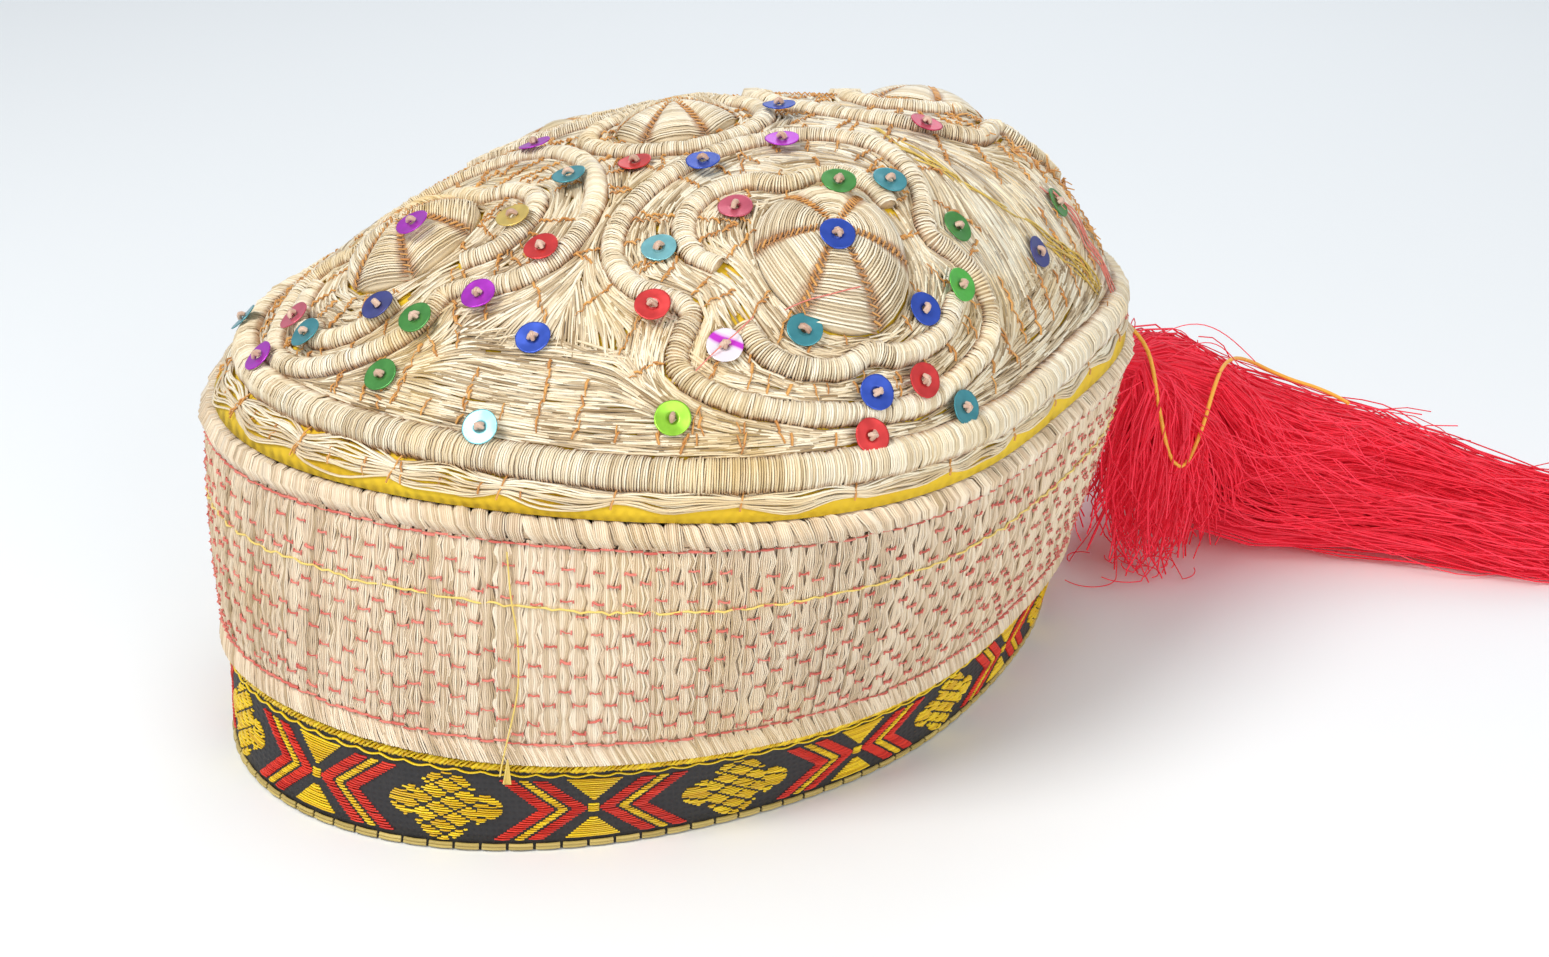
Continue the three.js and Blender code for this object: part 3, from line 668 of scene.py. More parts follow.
# the place over a boss's own plan point, whose first axis runs along its first spoke
def bossPoint(boss, u, v, extra=0.0):
    reach, fan = math.hypot(u, v), math.atan2(v, u)
    share = min(reach / boss["radius"], 1.0)
    valley = abs(math.cos(bossShape["segments"] / 2 * fan))
    full = max(0.0, 1 - share ** 2.1) ** 0.62
    rise = boss["height"] * (0.08 + 0.92 * full) * (1 - 0.26 * valley ** 5 * (0.2 + share))
    angle = fan + boss["turn"]
    base, normal = crownPlace(boss["x"] + reach * math.cos(angle), boss["y"] + reach * math.sin(angle))
    return base + normal * (0.35 + rise + extra)


def segmentLines(boss, start, rng):
    lines = []
    for row in range(1, bossThreads["rows"] + 1):
        reach = boss["radius"] * (row / bossThreads["rows"]) ** 0.94
        a = np.array([math.cos(start), math.sin(start)]) * reach
        b = np.array([math.cos(start + sector), math.sin(start + sector)]) * reach
        bow = (a + b) / 2 * 0.1
        path = []
        for t in np.linspace(0.015, 0.985, bossThreads["points"]):
            spot = a * (1 - t) + b * t + bow * 4 * t * (1 - t) + rng.normal(0, 0.05, 2)
            path.append(bossPoint(boss, spot[0], spot[1], 0.1 * math.sin(math.pi * t)))
        foot = np.abs(np.linspace(-1, 1, bossThreads["points"])) ** 5 * 0.9
        girth = 1 + 0.12 * rng.normal()
        lines.append(strand(np.array(path), girth, rng.uniform(0.15, 0.9), foot))
    return lines


def spokeLines(boss, start, rng):
    lines = []
    for step in np.arange(bossThreads["spokeStart"], boss["radius"] - 0.2, bossThreads["spokeStitch"]):
        lean = 0.55 + 0.15 * rng.random()
        ends = []
        for sign in (-1, 0, 1):
            reach, fan = step + sign * 0.35, start + sign * lean / step
            ends.append(bossPoint(boss, reach * math.cos(fan), reach * math.sin(fan), 0.38 - 0.1 * abs(sign)))
        lines.append(strand(np.array(ends), girth=1 + 0.2 * rng.normal(), tint=rng.uniform(0, 1)))
    return lines


def bossCore(boss):
    rings, around = bossThreads["coreRings"], bossThreads["coreAround"]
    fans = np.arange(around) / around * fullTurn
    widest = boss["radius"] * bossThreads["coreShare"]
    x = boss["x"] + widest * np.cos(fans + boss["turn"])
    y = boss["y"] + widest * np.sin(fans + boss["turn"])
    rows = [crownPlace(x, y, 0.2)[0]]
    for reach in widest * (1 - np.arange(rings) / rings):
        rows.append([bossPoint(boss, reach * math.cos(fan), reach * math.sin(fan), -0.45) for fan in fans])
    verts = np.concatenate(rows)
    return verts, outward(verts, gridFaces(rings + 1, around, False) + endFaces(rings + 1, around))


for index, boss in enumerate(bosses):
    rng = np.random.default_rng(200 + index)
    lines, stitches = [], []
    for k in range(bossShape["segments"]):
        lines += segmentLines(boss, k * sector, rng)
        stitches += spokeLines(boss, k * sector, rng)
    piece = addThreads(
        "padded_" + boss["node"], lines, bossThreads["thread"], finishes["satin"],
        [boss["node"]])
    core = addPiece("core", *bossCore(boss), finishes["satin"], "cord_floss", (), {"tint": 0.35, "foot": 0.0})
    joinInto(piece, core)
    addThreads(
        "spokes_" + boss["node"], stitches, bossThreads["spokeThread"], finishes["couching"])
print("bosses padded")

# crown cloth: yellow ground outside, plain cloth inside
crownCloth = {"around": 132, "rings": 28, "inner": 10, "thick": 2.4, "middle": 0.004, "foot": 0.991}
angles = np.linspace(0, fullTurn, crownCloth["around"], endpoint=False)
rows = []
for share in np.linspace(crownCloth["middle"], crownCloth["foot"], crownCloth["rings"]):
    rows.append(onCrown(crownPoint(angles, np.full(angles.shape, share))))
for share in np.linspace(crownCloth["foot"], crownCloth["middle"], crownCloth["inner"]):
    plan = crownPoint(angles, np.full(angles.shape, share))
    top, normal = crownPlace(plan[:, 0], plan[:, 1])
    if share == crownCloth["foot"]:
        normal[:, 2] = 0  # the foot's inner edge is level with its outer one
    rows.append(top - unit(normal) * crownCloth["thick"])
verts = np.concatenate(rows)
faces = gridFaces(len(rows), crownCloth["around"], False) + endFaces(len(rows), crownCloth["around"])
outside = crownCloth["around"] * (crownCloth["rings"] - 1)
pick = [0 if i < outside else 1 for i in range(len(faces))]
pick[-2] = 0
crownPiece = addPiece(
    "crown_cloth", verts, outward(verts, faces), finishes["ground"], "crown_floss", ["crown"], None,
    finishes["inside"], pick)
print("crown cloth made")

# laid floss: threads that follow the nearest cord, or lie straight in the open fields
laidFloss = {
    "thread": 0.52, "spacing": 0.95, "length": 11.5, "steps": 2, "follow": 8.5, "followBoss": 3.0,
    "outerField": 0.78, "fromCord": 0.15, "fromBoss": 0.1, "lift": 0.28, "arch": 0.36,
}
laidSides = {
    "front": {"low": -180, "high": 0, "dense": 0.56, "thick": 1},
    "back": {"low": 0, "high": 180.1, "dense": 0.2, "thick": 1.45},
}
cordLines = [smoothLine(cord["plan"], cord["closed"], 1.0) for cord in cords]
cordTangents = np.concatenate([tangents(line, cord["closed"]) for line, cord in zip(cordLines, cords)])
cordWidths = np.concatenate([np.full(len(line), cord["width"] / 2) for line, cord in zip(cordLines, cords)])
cordPoints = onCrown(np.concatenate(cordLines))
bossCentres = np.array([[boss["x"], boss["y"], boss["radius"]] for boss in bosses])
seamMiddle = np.array([seamOval["x"], seamOval["y"]])


# the doubled angle of the flow at plan points, and the distances to the nearest cord's and boss's edge
def flowVectors(spots):
    apart = np.linalg.norm(onCrown(spots)[:, None] - cordPoints[None], axis=2) - cordWidths[None]
    nearest = apart.argmin(1)
    away = apart[np.arange(len(spots)), nearest]
    doubled = 2 * np.arctan2(cordTangents[nearest][:, 1], cordTangents[nearest][:, 0])
    fromMiddle = spots - seamMiddle
    radial = np.arctan2(fromMiddle[:, 1], fromMiddle[:, 0])
    bossApart = np.linalg.norm(spots[:, None] - bossCentres[None, :, :2], axis=2) - bossCentres[None, :, 2]
    ring = bossApart.argmin(1)
    bossAway = bossApart[np.arange(len(spots)), ring]
    offset = spots - bossCentres[ring, :2]
    aroundBoss = np.arctan2(offset[:, 1], offset[:, 0]) + np.pi / 2
    outer = shareAt(spots[:, 0], spots[:, 1]) > laidFloss["outerField"]
    field = np.where(outer, radial + np.pi / 2, radial)
    near = np.exp(-np.maximum(away, 0) / laidFloss["follow"])
    nearBoss = np.exp(-np.maximum(bossAway, 0) / laidFloss["followBoss"]) * 1.4
    x = near * np.cos(doubled) + (1 - near) * 0.8 * np.cos(2 * field) + nearBoss * np.cos(2 * aroundBoss)
    y = near * np.sin(doubled) + (1 - near) * 0.8 * np.sin(2 * field) + nearBoss * np.sin(2 * aroundBoss)
    return np.stack([x, y, away, bossAway], -1)


flowGrid = {"low": -106.0, "step": 1.0, "count": 216, "batch": 2000}
axis = flowGrid["low"] + flowGrid["step"] * np.arange(flowGrid["count"])
gridSpots = np.stack(np.meshgrid(axis, axis, indexing="ij"), -1).reshape(-1, 2)
batches = range(0, len(gridSpots), flowGrid["batch"])
flowTable = np.concatenate([flowVectors(gridSpots[k:k + flowGrid["batch"]]) for k in batches])
flowTable = flowTable.reshape(flowGrid["count"], flowGrid["count"], 4)


def flowAt(spots):
    place = np.clip((spots - flowGrid["low"]) / flowGrid["step"], 0, flowGrid["count"] - 1.001)
    cell = place.astype(int)
    i, j = cell[:, 0], cell[:, 1]
    u, v = (place - cell)[:, 0:1], (place - cell)[:, 1:2]
    value = (flowTable[i, j] * (1 - u) + flowTable[i + 1, j] * u) * (1 - v)
    value = value + (flowTable[i, j + 1] * (1 - u) + flowTable[i + 1, j + 1] * u) * v
    return np.arctan2(value[:, 1], value[:, 0]) / 2, value[:, 2], value[:, 3]


# plan points to lay a thread through, and the flow's heading there
def laidSpots(rng, part):
    step = laidFloss["spacing"]
    gridX, gridY = np.meshgrid(np.arange(-95, 105, step), np.arange(-100, 95, step))
    spots = np.stack([gridX.ravel(), gridY.ravel()], -1) + rng.uniform(-0.5, 0.5, (gridX.size, 2)) * step
    bearing = np.degrees(np.arctan2(spots[:, 1] - seamOval["y"], spots[:, 0] - seamOval["x"]))
    upright = crownPlace(spots[:, 0], spots[:, 1])[1][:, 2]
    chosen = rng.random(len(spots)) < part["dense"] / np.maximum(upright, 0.3)
    within = shareAt(spots[:, 0], spots[:, 1]) < edgeShare(bearing)
    spots = spots[within & (bearing >= part["low"]) & (bearing < part["high"]) & chosen]
    heading, away, bossAway = flowAt(spots)
    free = (away > laidFloss["fromCord"]) & (bossAway > laidFloss["fromBoss"])
    return spots[free], heading[free]


# the way each thread takes along the flow, to both sides of its middle
def laidPaths(spots, heading):
    stride = laidFloss["length"] / (2 * laidFloss["steps"])
    halves = []
    for turn in (0, np.pi):
        here, last = spots, heading + turn
        trail = [here]
        for _ in range(laidFloss["steps"]):
            angle = flowAt(here)[0]
            angle = np.where(np.cos(angle - last) < 0, angle + np.pi, angle)
            here = here + stride * np.stack([np.cos(angle), np.sin(angle)], -1)
            last = angle
            trail.append(here)
        halves.append(np.array(trail))
    return np.concatenate([halves[1][:0:-1], halves[0]]).transpose(1, 0, 2)


def laidLines(rng, part):
    paths = laidPaths(*laidSpots(rng, part))
    count = paths.shape[1]
    _, away, bossAway = flowAt(paths.reshape(-1, 2))
    sink = np.clip(np.minimum(away, bossAway + 0.3), -1.2, 0.5).reshape(-1, count)
    lines = []
    lift = laidFloss["lift"] + 0.3 * rng.random(len(paths))
    for i, path in enumerate(paths):
        good = (sink[i] > -1.0) & (shareAt(path[:, 0], path[:, 1]) < 0.985)
        first = last = count // 2
        while first > 0 and good[first - 1]:
            first -= 1
        while last < count - 1 and good[last + 1]:
            last += 1
        if first == last:
            continue
        arch = np.sin(np.linspace(0, np.pi, last - first + 1))
        points = onCrown(path[first:last + 1], lift[i] + laidFloss["arch"] * arch)
        girth = 0.75 + 0.4 * arch + 0.12 * rng.normal()
        lines.append(strand(points, girth, rng.uniform(0.05, 1), (1 - arch ** 0.5) * 0.8))
    return lines


for index, (name, part) in enumerate(laidSides.items()):
    lines = laidLines(np.random.default_rng(300 + index), part)
    thickness = laidFloss["thread"] * part["thick"]
    addThreads("laid_floss_" + name, lines, thickness, finishes["laid"])

# couching rows: short stitches across the laid floss, every few millimetres along the cords
couching = {"every": 7.5, "stitch": 1.3, "thread": 0.46, "reach": 11, "lift": (0.95, 1.5, 0.95)}
rng = np.random.default_rng(400)


def couchingRow(cord, spot, way, side):
    lines = []
    reach = couching["reach"] * rng.uniform(0.5, 1.2)
    for out in np.arange(cord["width"] / 2 + 0.6, reach, couching["stitch"] * 0.82):
        place = spot + side * out + rng.normal(0, 0.22, 2)
        _, away, bossAway = flowAt(place[None])
        if away[0] < 0.35 or bossAway[0] < 0.4 or shareAt(place[0], place[1]) > 0.975:
            break
        tilt = side + way * rng.normal(0, 0.35)
        plan = place + tilt * (np.array([-0.5, 0, 0.5])[:, None] * couching["stitch"])
        points = onCrown(plan, couching["lift"])
        lines.append(strand(points, girth=1 + 0.25 * rng.normal(), tint=rng.random()))
    return lines


lines = []
for cord in cords:
    line = smoothLine(cord["plan"], cord["closed"], couching["every"])
    for spot, way in zip(line, tangents(line, cord["closed"])):
        for sense in (1, -1):
            lines += couchingRow(cord, spot, way, np.array([-way[1], way[0]]) * sense)
addThreads("couching_stitches", lines, couching["thread"], finishes["couching"])

# the flat bundle between the edge cord and the seam, held down every 20 mm
seamBundle = {
    "strands": 16, "ties": 26, "thread": 0.52, "strip": 2.4, "fromCord": 2.7, "tieThread": 0.45,
    "tieHalf": 0.24, "tieLift": (0.8, 1.25, 0.8),
}
rng = np.random.default_rng(410)
lines, ties = [], []
angles = np.linspace(0, fullTurn, 261)
reachOut = np.linalg.norm(ovalPoint(seamOval, angles) - peakSpot, axis=1)
cordShare = edgeShare(np.degrees(angles))
cordPlan = crownPoint(angles, cordShare)
upright = crownPlace(cordPlan[:, 0], cordPlan[:, 1])[1][:, 2]
inner = cordShare + seamBundle["fromCord"] * upright / reachOut
outer = np.maximum(1 - (seamBundle["strip"] * upright + 0.4) / reachOut, inner + 1.5 * upright / reachOut)
held = np.abs(np.sin(angles * seamBundle["ties"] / 2))
sway = 0.3 * np.sin(angles * 31) + 0.2 * np.sin(angles * 47 + 1)
for k in range(seamBundle["strands"]):
    across = (k + 0.5) / seamBundle["strands"]
    crossing = 0.1 * np.sin(angles * rng.uniform(12, 20) + rng.uniform(0, 6))
    spread = 0.5 + (across - 0.5) * (0.45 + 0.6 * held) + crossing * held
    share = inner + (outer - inner) * spread + sway * upright / reachOut
    mound = 0.35 + (0.4 + 0.75 * held) * (1 - (2 * across - 1) ** 2) + 0.12 * rng.normal()
    points = onCrown(crownPoint(angles, share), mound)
    lines.append(strand(points, tint=rng.uniform(0.35, 1), girth=1 + 0.1 * rng.normal()))
for k in range(seamBundle["ties"]):
    angle = k * fullTurn / seamBundle["ties"] + rng.normal(0, 0.006)
    first, last = np.interp(angle, angles, inner), np.interp(angle, angles, outer)
    for out in (0.3, 0.7):
        share = first + (last - first) * (np.array([-1, 0, 1]) * seamBundle["tieHalf"] + out)
        points = onCrown(crownPoint(np.full(3, angle), share), seamBundle["tieLift"])
        ties.append(strand(points, tint=rng.random()))
addThreads("seam_bundle", lines, seamBundle["thread"], finishes["laid"])
addThreads("seam_bundle_ties", ties, seamBundle["tieThread"], finishes["couching"])
print("crown embroidered")

# side band: columns of floss pinched by red ticks, over a padded wall
bandFloss = {
    "column": 2.7, "round": 565, "strands": 8, "backStrands": 4, "thread": 0.52, "top": 64.4, "rise": 0.6,
    "tickEvery": 6.2, "stagger": 3.25, "pinch": 0.48, "pinchHalf": 1.3, "tickThread": 0.46, "skipped": 0.07,
    "swell": 1.1, "sunk": 0.2,
}
bandCloth = {"high": 63.9, "thick": 2.4, "steps": 12, "around": 200}


def bandProud(up):
    return bandFloss["swell"] * np.sin(np.pi * np.clip(up, 0, 1)) - bandFloss["sunk"]


# a closed wall between two heights, and the number of its outer faces
def wallShell(low, high, proudOuter, thick, steps, around):
    bearings = np.linspace(0, fullTurn, around, endpoint=False)
    rows = []
    for proud, ups in ((0, np.linspace(1, 0, steps)), (-thick, np.linspace(0, 1, 5))):
        for up in ups:
            heights = low(bearings) * (1 - up) + high(bearings) * up
            rows.append(wallPoint(bearings, heights, proudOuter(up) + proud))
    verts = np.concatenate(rows)
    return verts, outward(verts, gridFaces(len(rows), around, True)), (steps - 1) * around


def bandClothTop(bearings):
    return np.full(bearings.shape, bandCloth["high"])


verts, faces, outside = wallShell(
    ribbonTop, bandClothTop, bandProud, bandCloth["thick"], bandCloth["steps"], bandCloth["around"])
pick = [0 if i < outside else 1 for i in range(len(faces))]
bandPiece = addPiece(
    "side_band_cloth", verts, faces, finishes["band"], "band_floss", ["side_band"],
    {"tint": 0.5, "foot": 0.0}, finishes["inside"], pick)

columnBearings, roundLength = evenBearings(42, int(round(bandFloss["round"] / bandFloss["column"])))
wallRadius = roundLength / fullTurn
rng = np.random.default_rng(500)
bandHalves, ticks = {"front": [], "back": []}, []


# the heights at which a column's threads have their points, and those at which they are pinched
def columnStations(low, high, tickHeights):
    pinched = np.concatenate([[low + 4.6], tickHeights, [high]])
    stations = [low + 0.2, low + 1.7, low + 3.4]
    for a, b in zip(pinched[:-1], pinched[1:]):
        stations += [a, a + (b - a) * 0.5]
    return np.array(stations + [high, high + 0.5]), pinched


# the threads fan out over the ribbon's braid in a short slanted tuft
def columnLines(bearing, low, high, tickHeights, seen):
    stations, pinched = columnStations(low, high, tickHeights)
    away = np.abs(stations[:, None] - pinched[None]).min(1)
    pinch = np.exp(-(away / bandFloss["pinchHalf"]) ** 2)
    lean = rng.normal(0.1, 0.2)
    below = low + 4.4 - stations
    slant = np.where(below > 0, below * 0.5, below * 0.035)
    tuft = 0.75 * np.clip((below - 0.4) / 3, 0, 1)
    proud = bandProud((stations - low - 1.6) / (high - low)) + tuft + 0.3
    number = bandFloss["strands" if seen else "backStrands"]
    lines = []
    for j in range(number):
        u = (j + 0.5) / number * 2 - 1
        aside = u * bandFloss["column"] / 2 * 1.3 * (1 - bandFloss["pinch"] * pinch) + lean * (1 - pinch)
        aside = aside + rng.normal(0, 0.05, len(stations)) + slant
        rise = bandFloss["rise"] * (1 - 0.8 * pinch) * math.sqrt(1 - 0.7 * u * u)
        points = wallPoint(bearing + aside / wallRadius, stations, proud + rise)
        girth = (1 if seen else 1.5) + 0.1 * rng.normal()
        lines.append(strand(points, girth, rng.uniform(0.15, 1), pinch * 0.5))
    return lines


# a red stitch across a column, with its two feet where it is seen
def addTick(bearing, height, low, high, seen):
    wide = 0.9 + 0.3 * rng.random()
    tilt = rng.normal(0, 0.16)
    if rng.random() < bandFloss["skipped"]:
        return
    proud = bandProud((height - low - 1.6) / (high - low))
    sides = np.array([-1, 0, 1])
    over = proud + np.array([0.8, 1.3, 0.8])
    points = wallPoint(bearing + sides * wide / wallRadius, height + sides * tilt, over)
    ticks.append(strand(points, tint=rng.random(), girth=1 + 0.2 * rng.normal()))
    for sense in (-1, 1) if seen else ():
        rise = height + np.array([-0.45, 0.5]) * rng.uniform(0.4, 1.1)
        points = wallPoint(np.full(2, bearing + sense * wide * 0.95 / wallRadius), rise, proud + 1.0)
        ticks.append(strand(points, tint=rng.random(), girth=0.8))


for i, bearing in enumerate(columnBearings):
    low, high = float(ribbonTop(bearing)) - 1.6, bandFloss["top"]
    phase = np.mod(i * bandFloss["stagger"] + rng.normal(0, 0.45), bandFloss["tickEvery"])
    tickHeights = np.arange(low + 6.2 + phase * 0.8, high - 3.2, bandFloss["tickEvery"]) + rng.normal(0, 0.2)
    seen = math.sin(bearing) < 0.2
    half = bandHalves["front" if math.sin(bearing) < 0 else "back"]
    half += columnLines(bearing, low, high, tickHeights, seen)
    for height in tickHeights:
        addTick(bearing, height, low, high, seen)

# red backstitch rows under the roll and above the ribbon
backstitch = {"count": 230, "half": 0.46, "lift": np.array([0.45, 0.95, 0.45])}
backRows = (
    {"measured": 62, "height": lambda bearing: 64.2, "wave": 0.15, "lift": 0.25},
    {"measured": 22, "height": lambda bearing: float(ribbonTop(bearing)) + 3.0, "wave": 0.2, "lift": 0.3},
)
for row in backRows:
    bearings, length = evenBearings(row["measured"], backstitch["count"])
    span = fullTurn / backstitch["count"] * backstitch["half"]
    for bearing in bearings:
        heights = row["height"](bearing) + rng.normal(0, row["wave"]) + np.array([0, 0.12, 0])
        points = wallPoint(bearing + np.array([-span, 0, span]), heights, backstitch["lift"] + row["lift"])
        ticks.append(strand(points, tint=rng.random(), girth=1.25 + 0.25 * rng.normal()))
for half, lines in bandHalves.items():
    addThreads("band_floss_" + half, lines, bandFloss["thread"], finishes["band"])
addThreads("red_tick_stitches", ticks, bandFloss["tickThread"], finishes["redThread"])

# one fine yellow thread runs round the band
yellowRun = {"points": 460, "height": 52.5, "thread": 0.5}
bearings, _ = evenBearings(50, yellowRun["points"])
heights = yellowRun["height"] + 0.5 * np.sin(bearings * 5) + 0.22 * rng.normal(size=len(bearings))
proud = bandProud(0.72) + 1.0 + 0.3 * np.cos(np.arange(len(bearings)) * np.pi / 2)
line = strand(wallPoint(bearings, heights, proud))
addThreads("yellow_band_thread", [line], yellowRun["thread"], finishes["yellowThread"], (), 4)

# the rolled edge: plump whipped lumps over a core
rollShape = {
    "height": 66.4, "inset": 1.2, "radius": 2.0, "round": 572, "lump": 3.1, "strands": 8, "backStrands": 5,
    "points": 6, "puff": 0.95, "thread": 0.52, "coreAround": 220, "coreFacets": 10,
}


# a place on the roll's section, at a turn from straight out
def rollPoint(bearing, turn, radius):
    bearing, turn, radius = np.broadcast_arrays(bearing, turn, radius)
    points = wallPoint(bearing, float(rollShape["height"]), radius * np.cos(turn) - rollShape["inset"])
    points[..., 2] += radius * np.sin(turn)
    return points


bearings = np.linspace(0, fullTurn, rollShape["coreAround"], endpoint=False)
facets = np.arange(rollShape["coreFacets"]) / rollShape["coreFacets"] * fullTurn
verts = np.concatenate([rollPoint(bearings, turn, rollShape["radius"] - 0.1) for turn in facets])
faces = outward(verts, gridFaces(rollShape["coreFacets"], rollShape["coreAround"], True))
lumpBearings, length = evenBearings(66, int(round(rollShape["round"] / rollShape["lump"])))
turns = np.radians(np.linspace(-88, 160, rollShape["points"]))
ends = np.linspace(-1, 1, rollShape["points"])
plump = np.sin(np.linspace(0.12, np.pi - 0.12, rollShape["points"]))
lines = []
for bearing in lumpBearings:
    big = 1 + 0.22 * rng.normal()
    sway = 0.25 * rng.normal()
    number = rollShape["strands" if math.sin(bearing) < 0.2 else "backStrands"]
    for j in range(number):
        u = (j + 0.5) / number * 2 - 1
        aside = u * rollShape["lump"] / 2 * (1.03 - 0.34 * ends ** 2) - (turns - 0.8) * (0.85 + sway)
        puff = rollShape["radius"] + rollShape["puff"] * big * math.sqrt(1 - 0.93 * u * u) * plump
        points = rollPoint(bearing + aside / (length / fullTurn), turns, puff)
        lines.append(strand(points, 1 + 0.1 * rng.normal(), rng.uniform(0.2, 1), np.abs(ends) ** 6))
rollPiece = addThreads(
    "whipped_roll", lines, rollShape["thread"], finishes["band"], ["band_top_roll"])
core = addPiece("core", verts, faces, finishes["band"], "band_floss", (), {"tint": 0.3, "foot": 0.2})
joinInto(rollPiece, core)
print("band stitched")

# hem ribbon: charcoal weave with raised floats, a gold flower and a chevron cross by turns
ribbonWeave = {
    "floatPitch": 0.52, "thread": 0.5, "proud": -0.5, "arch": 0.22, "clothProud": -0.55, "clothThick": 1.2,
    "steps": 6, "around": 240, "startRun": 156.48, "startBearing": -252, "motifs": 20, "middle": 8.5,
    "half": 8.0, "squash": 0.83,
}
verts, faces, _ = wallShell(
    lambda bearings: 0 * bearings, lambda bearings: ribbonTop(bearings) - 0.4,
    lambda up: ribbonWeave["clothProud"], ribbonWeave["clothThick"], ribbonWeave["steps"],
    ribbonWeave["around"])
ribbonPiece = addPiece("ribbon_cloth", verts, faces, finishes["charcoal"], "ribbon", ["hem_ribbon"])

startBearing = math.radians(ribbonWeave["startBearing"])
ribbonRun = runAlong(wallPoint(wallRound + startBearing, np.full(wallRound.shape, 10.0)))
ribbonScale = ribbonRun[-1] / ribbonShape["length"]


# a place on the ribbon's face, run millimetres along it and height up it
def ribbonPoint(run, height, proud):
    run, height = np.broadcast_arrays(np.asarray(run, float), np.asarray(height, float))
    bearing = np.interp(np.mod(run * ribbonScale, ribbonRun[-1]), ribbonRun, wallRound) + startBearing
    return wallPoint(bearing, height * (ribbonTop(bearing) / ribbonShape["height"]), proud)


# stretches of one float row that lie in a shape, a test on x that place has the rest for
def stretches(shape, low, high, *place):
    found, start = [], None
    for x in np.arange(low, high, 0.12):
        inside = shape(x, *place)
        if inside and start is None:
            start = x
        if not inside and start is not None:
            found.append((start, x))
            start = None
    if start is not None:
        found.append((start, high))
    return [(a, b) for a, b in found if b - a > 0.45]


# a stepped flower with four petals, cut by the gaps between its gold bars
def flowerHas(x, y):
    reach = math.hypot(x / 10.8, y / 7.9)
    angle = math.atan2(y / 7.9, x / 10.8)
    if reach > 0.9 + 0.13 * math.cos(4 * angle):
        return False
    if reach > 0.62 and abs(math.sin(2 * angle + 0.2)) > 0.965:
        return False
    if abs(x) < 6.2:
        first = (x * 0.62 + y + 30) % 3.3
        second = (x * 0.62 - y + 30) % 4.6
        return first > 0.62 and second > 0.55
    return (x * 0.3 + y + 30) % 3.7 > 0.5


def chevronHas(x, y, vertex, wide):
    edge = vertex + abs(y) * 1.08
    return edge <= x <= edge + wide and abs(y) < 7.5


def triangleHas(x, y):
    return 2.3 < abs(y) < 7.9 and abs(x) < (abs(y) - 1.9) * 0.92


rng = np.random.default_rng(600)
goldLines, redLines = [], []
chevrons = ((0.9, 2.9, redLines), (4.6, 1.7, goldLines), (7.2, 2.9, redLines))


def addFloat(where, start, a, b, height):
    places = np.array([0.0, 0.5, 1.0] if b - a < 3.0 else [0.0, 0.25, 0.75, 1.0])
    arch = np.sin(np.pi * places) ** 0.6 * ribbonWeave["arch"]
    runs = start + a + (b - a) * places
    points = ribbonPoint(runs, height + rng.normal(0, 0.03), ribbonWeave["proud"] + arch)
    where.append(strand(points, girth=1 + 0.1 * rng.normal(), tint=rng.random()))


def addFlowerRow(start, y, height):
    for a, b in stretches(flowerHas, -11, 11, y):
        addFloat(goldLines, start, a, b, height)


def addChevronRow(start, y, height):
    for sense in (1, -1):
        for vertex, wide, where in chevrons:
            for a, b in stretches(chevronHas, 0, 20, y, vertex, wide):
                addFloat(where, start, min(a * sense, b * sense), max(a * sense, b * sense), height)
    for a, b in stretches(triangleHas, -6, 6, y):
        addFloat(goldLines, start, a, b, height)
    if abs(y) < 1.1:
        addFloat(goldLines, start, -1.0, 1.0, height)


for k in range(ribbonWeave["motifs"]):
    start = ribbonWeave["startRun"] + ribbonShape["length"] / ribbonWeave["motifs"] * k
    for y in np.arange(-ribbonWeave["half"], ribbonWeave["half"] + 0.01, ribbonWeave["floatPitch"]):
        addRow = addChevronRow if k % 2 else addFlowerRow
        addRow(start, y, ribbonWeave["middle"] + y * ribbonWeave["squash"])
addThreads("gold_floats", goldLines, ribbonWeave["thread"], finishes["gold"])
addThreads("red_floats", redLines, ribbonWeave["thread"], finishes["redFloat"])

# braid along the ribbon's top with scallops under it, and dashes along the ribbon's lower edge
braid = {"height": 17.4, "swing": 0.6, "twist": 3.1, "thread": 0.95}
scallops = {"height": 16.1, "sag": 0.6, "every": 5.1}
dashes = {"every": 5.0, "long": 4.4, "rows": (0.42, 0.98), "thread": 0.85}
lines = []
runs = np.arange(0, ribbonShape["length"] + 0.01, 0.75)
for k in range(3):
    twist = runs / braid["twist"] * fullTurn + k * fullTurn / 3
    points = ribbonPoint(runs, braid["height"] + braid["swing"] * np.sin(twist), -0.25 + 0.35 * np.cos(twist))
    lines.append(strand(points, tint=0.2 + 0.35 * k, girth=0.95))
heights = scallops["height"] - scallops["sag"] * np.abs(np.sin(np.pi * runs / scallops["every"]))
lines.append(strand(ribbonPoint(runs, heights, -0.3), tint=0.8, girth=0.6))
addThreads("ribbon_braid", lines, braid["thread"], finishes["gold"])
lines = []
for start in np.arange(0, ribbonShape["length"] - 0.5, dashes["every"]):
    for row in dashes["rows"]:
        arch = 0.15 * np.sin(np.linspace(0, np.pi, 5))
        points = ribbonPoint(start + np.linspace(0, dashes["long"], 5), row, -0.42 + arch)
        lines.append(strand(points, tint=rng.random()))
addThreads("ribbon_edge_dashes", lines, dashes["thread"], finishes["khaki"], (), 4)
print("ribbon woven")

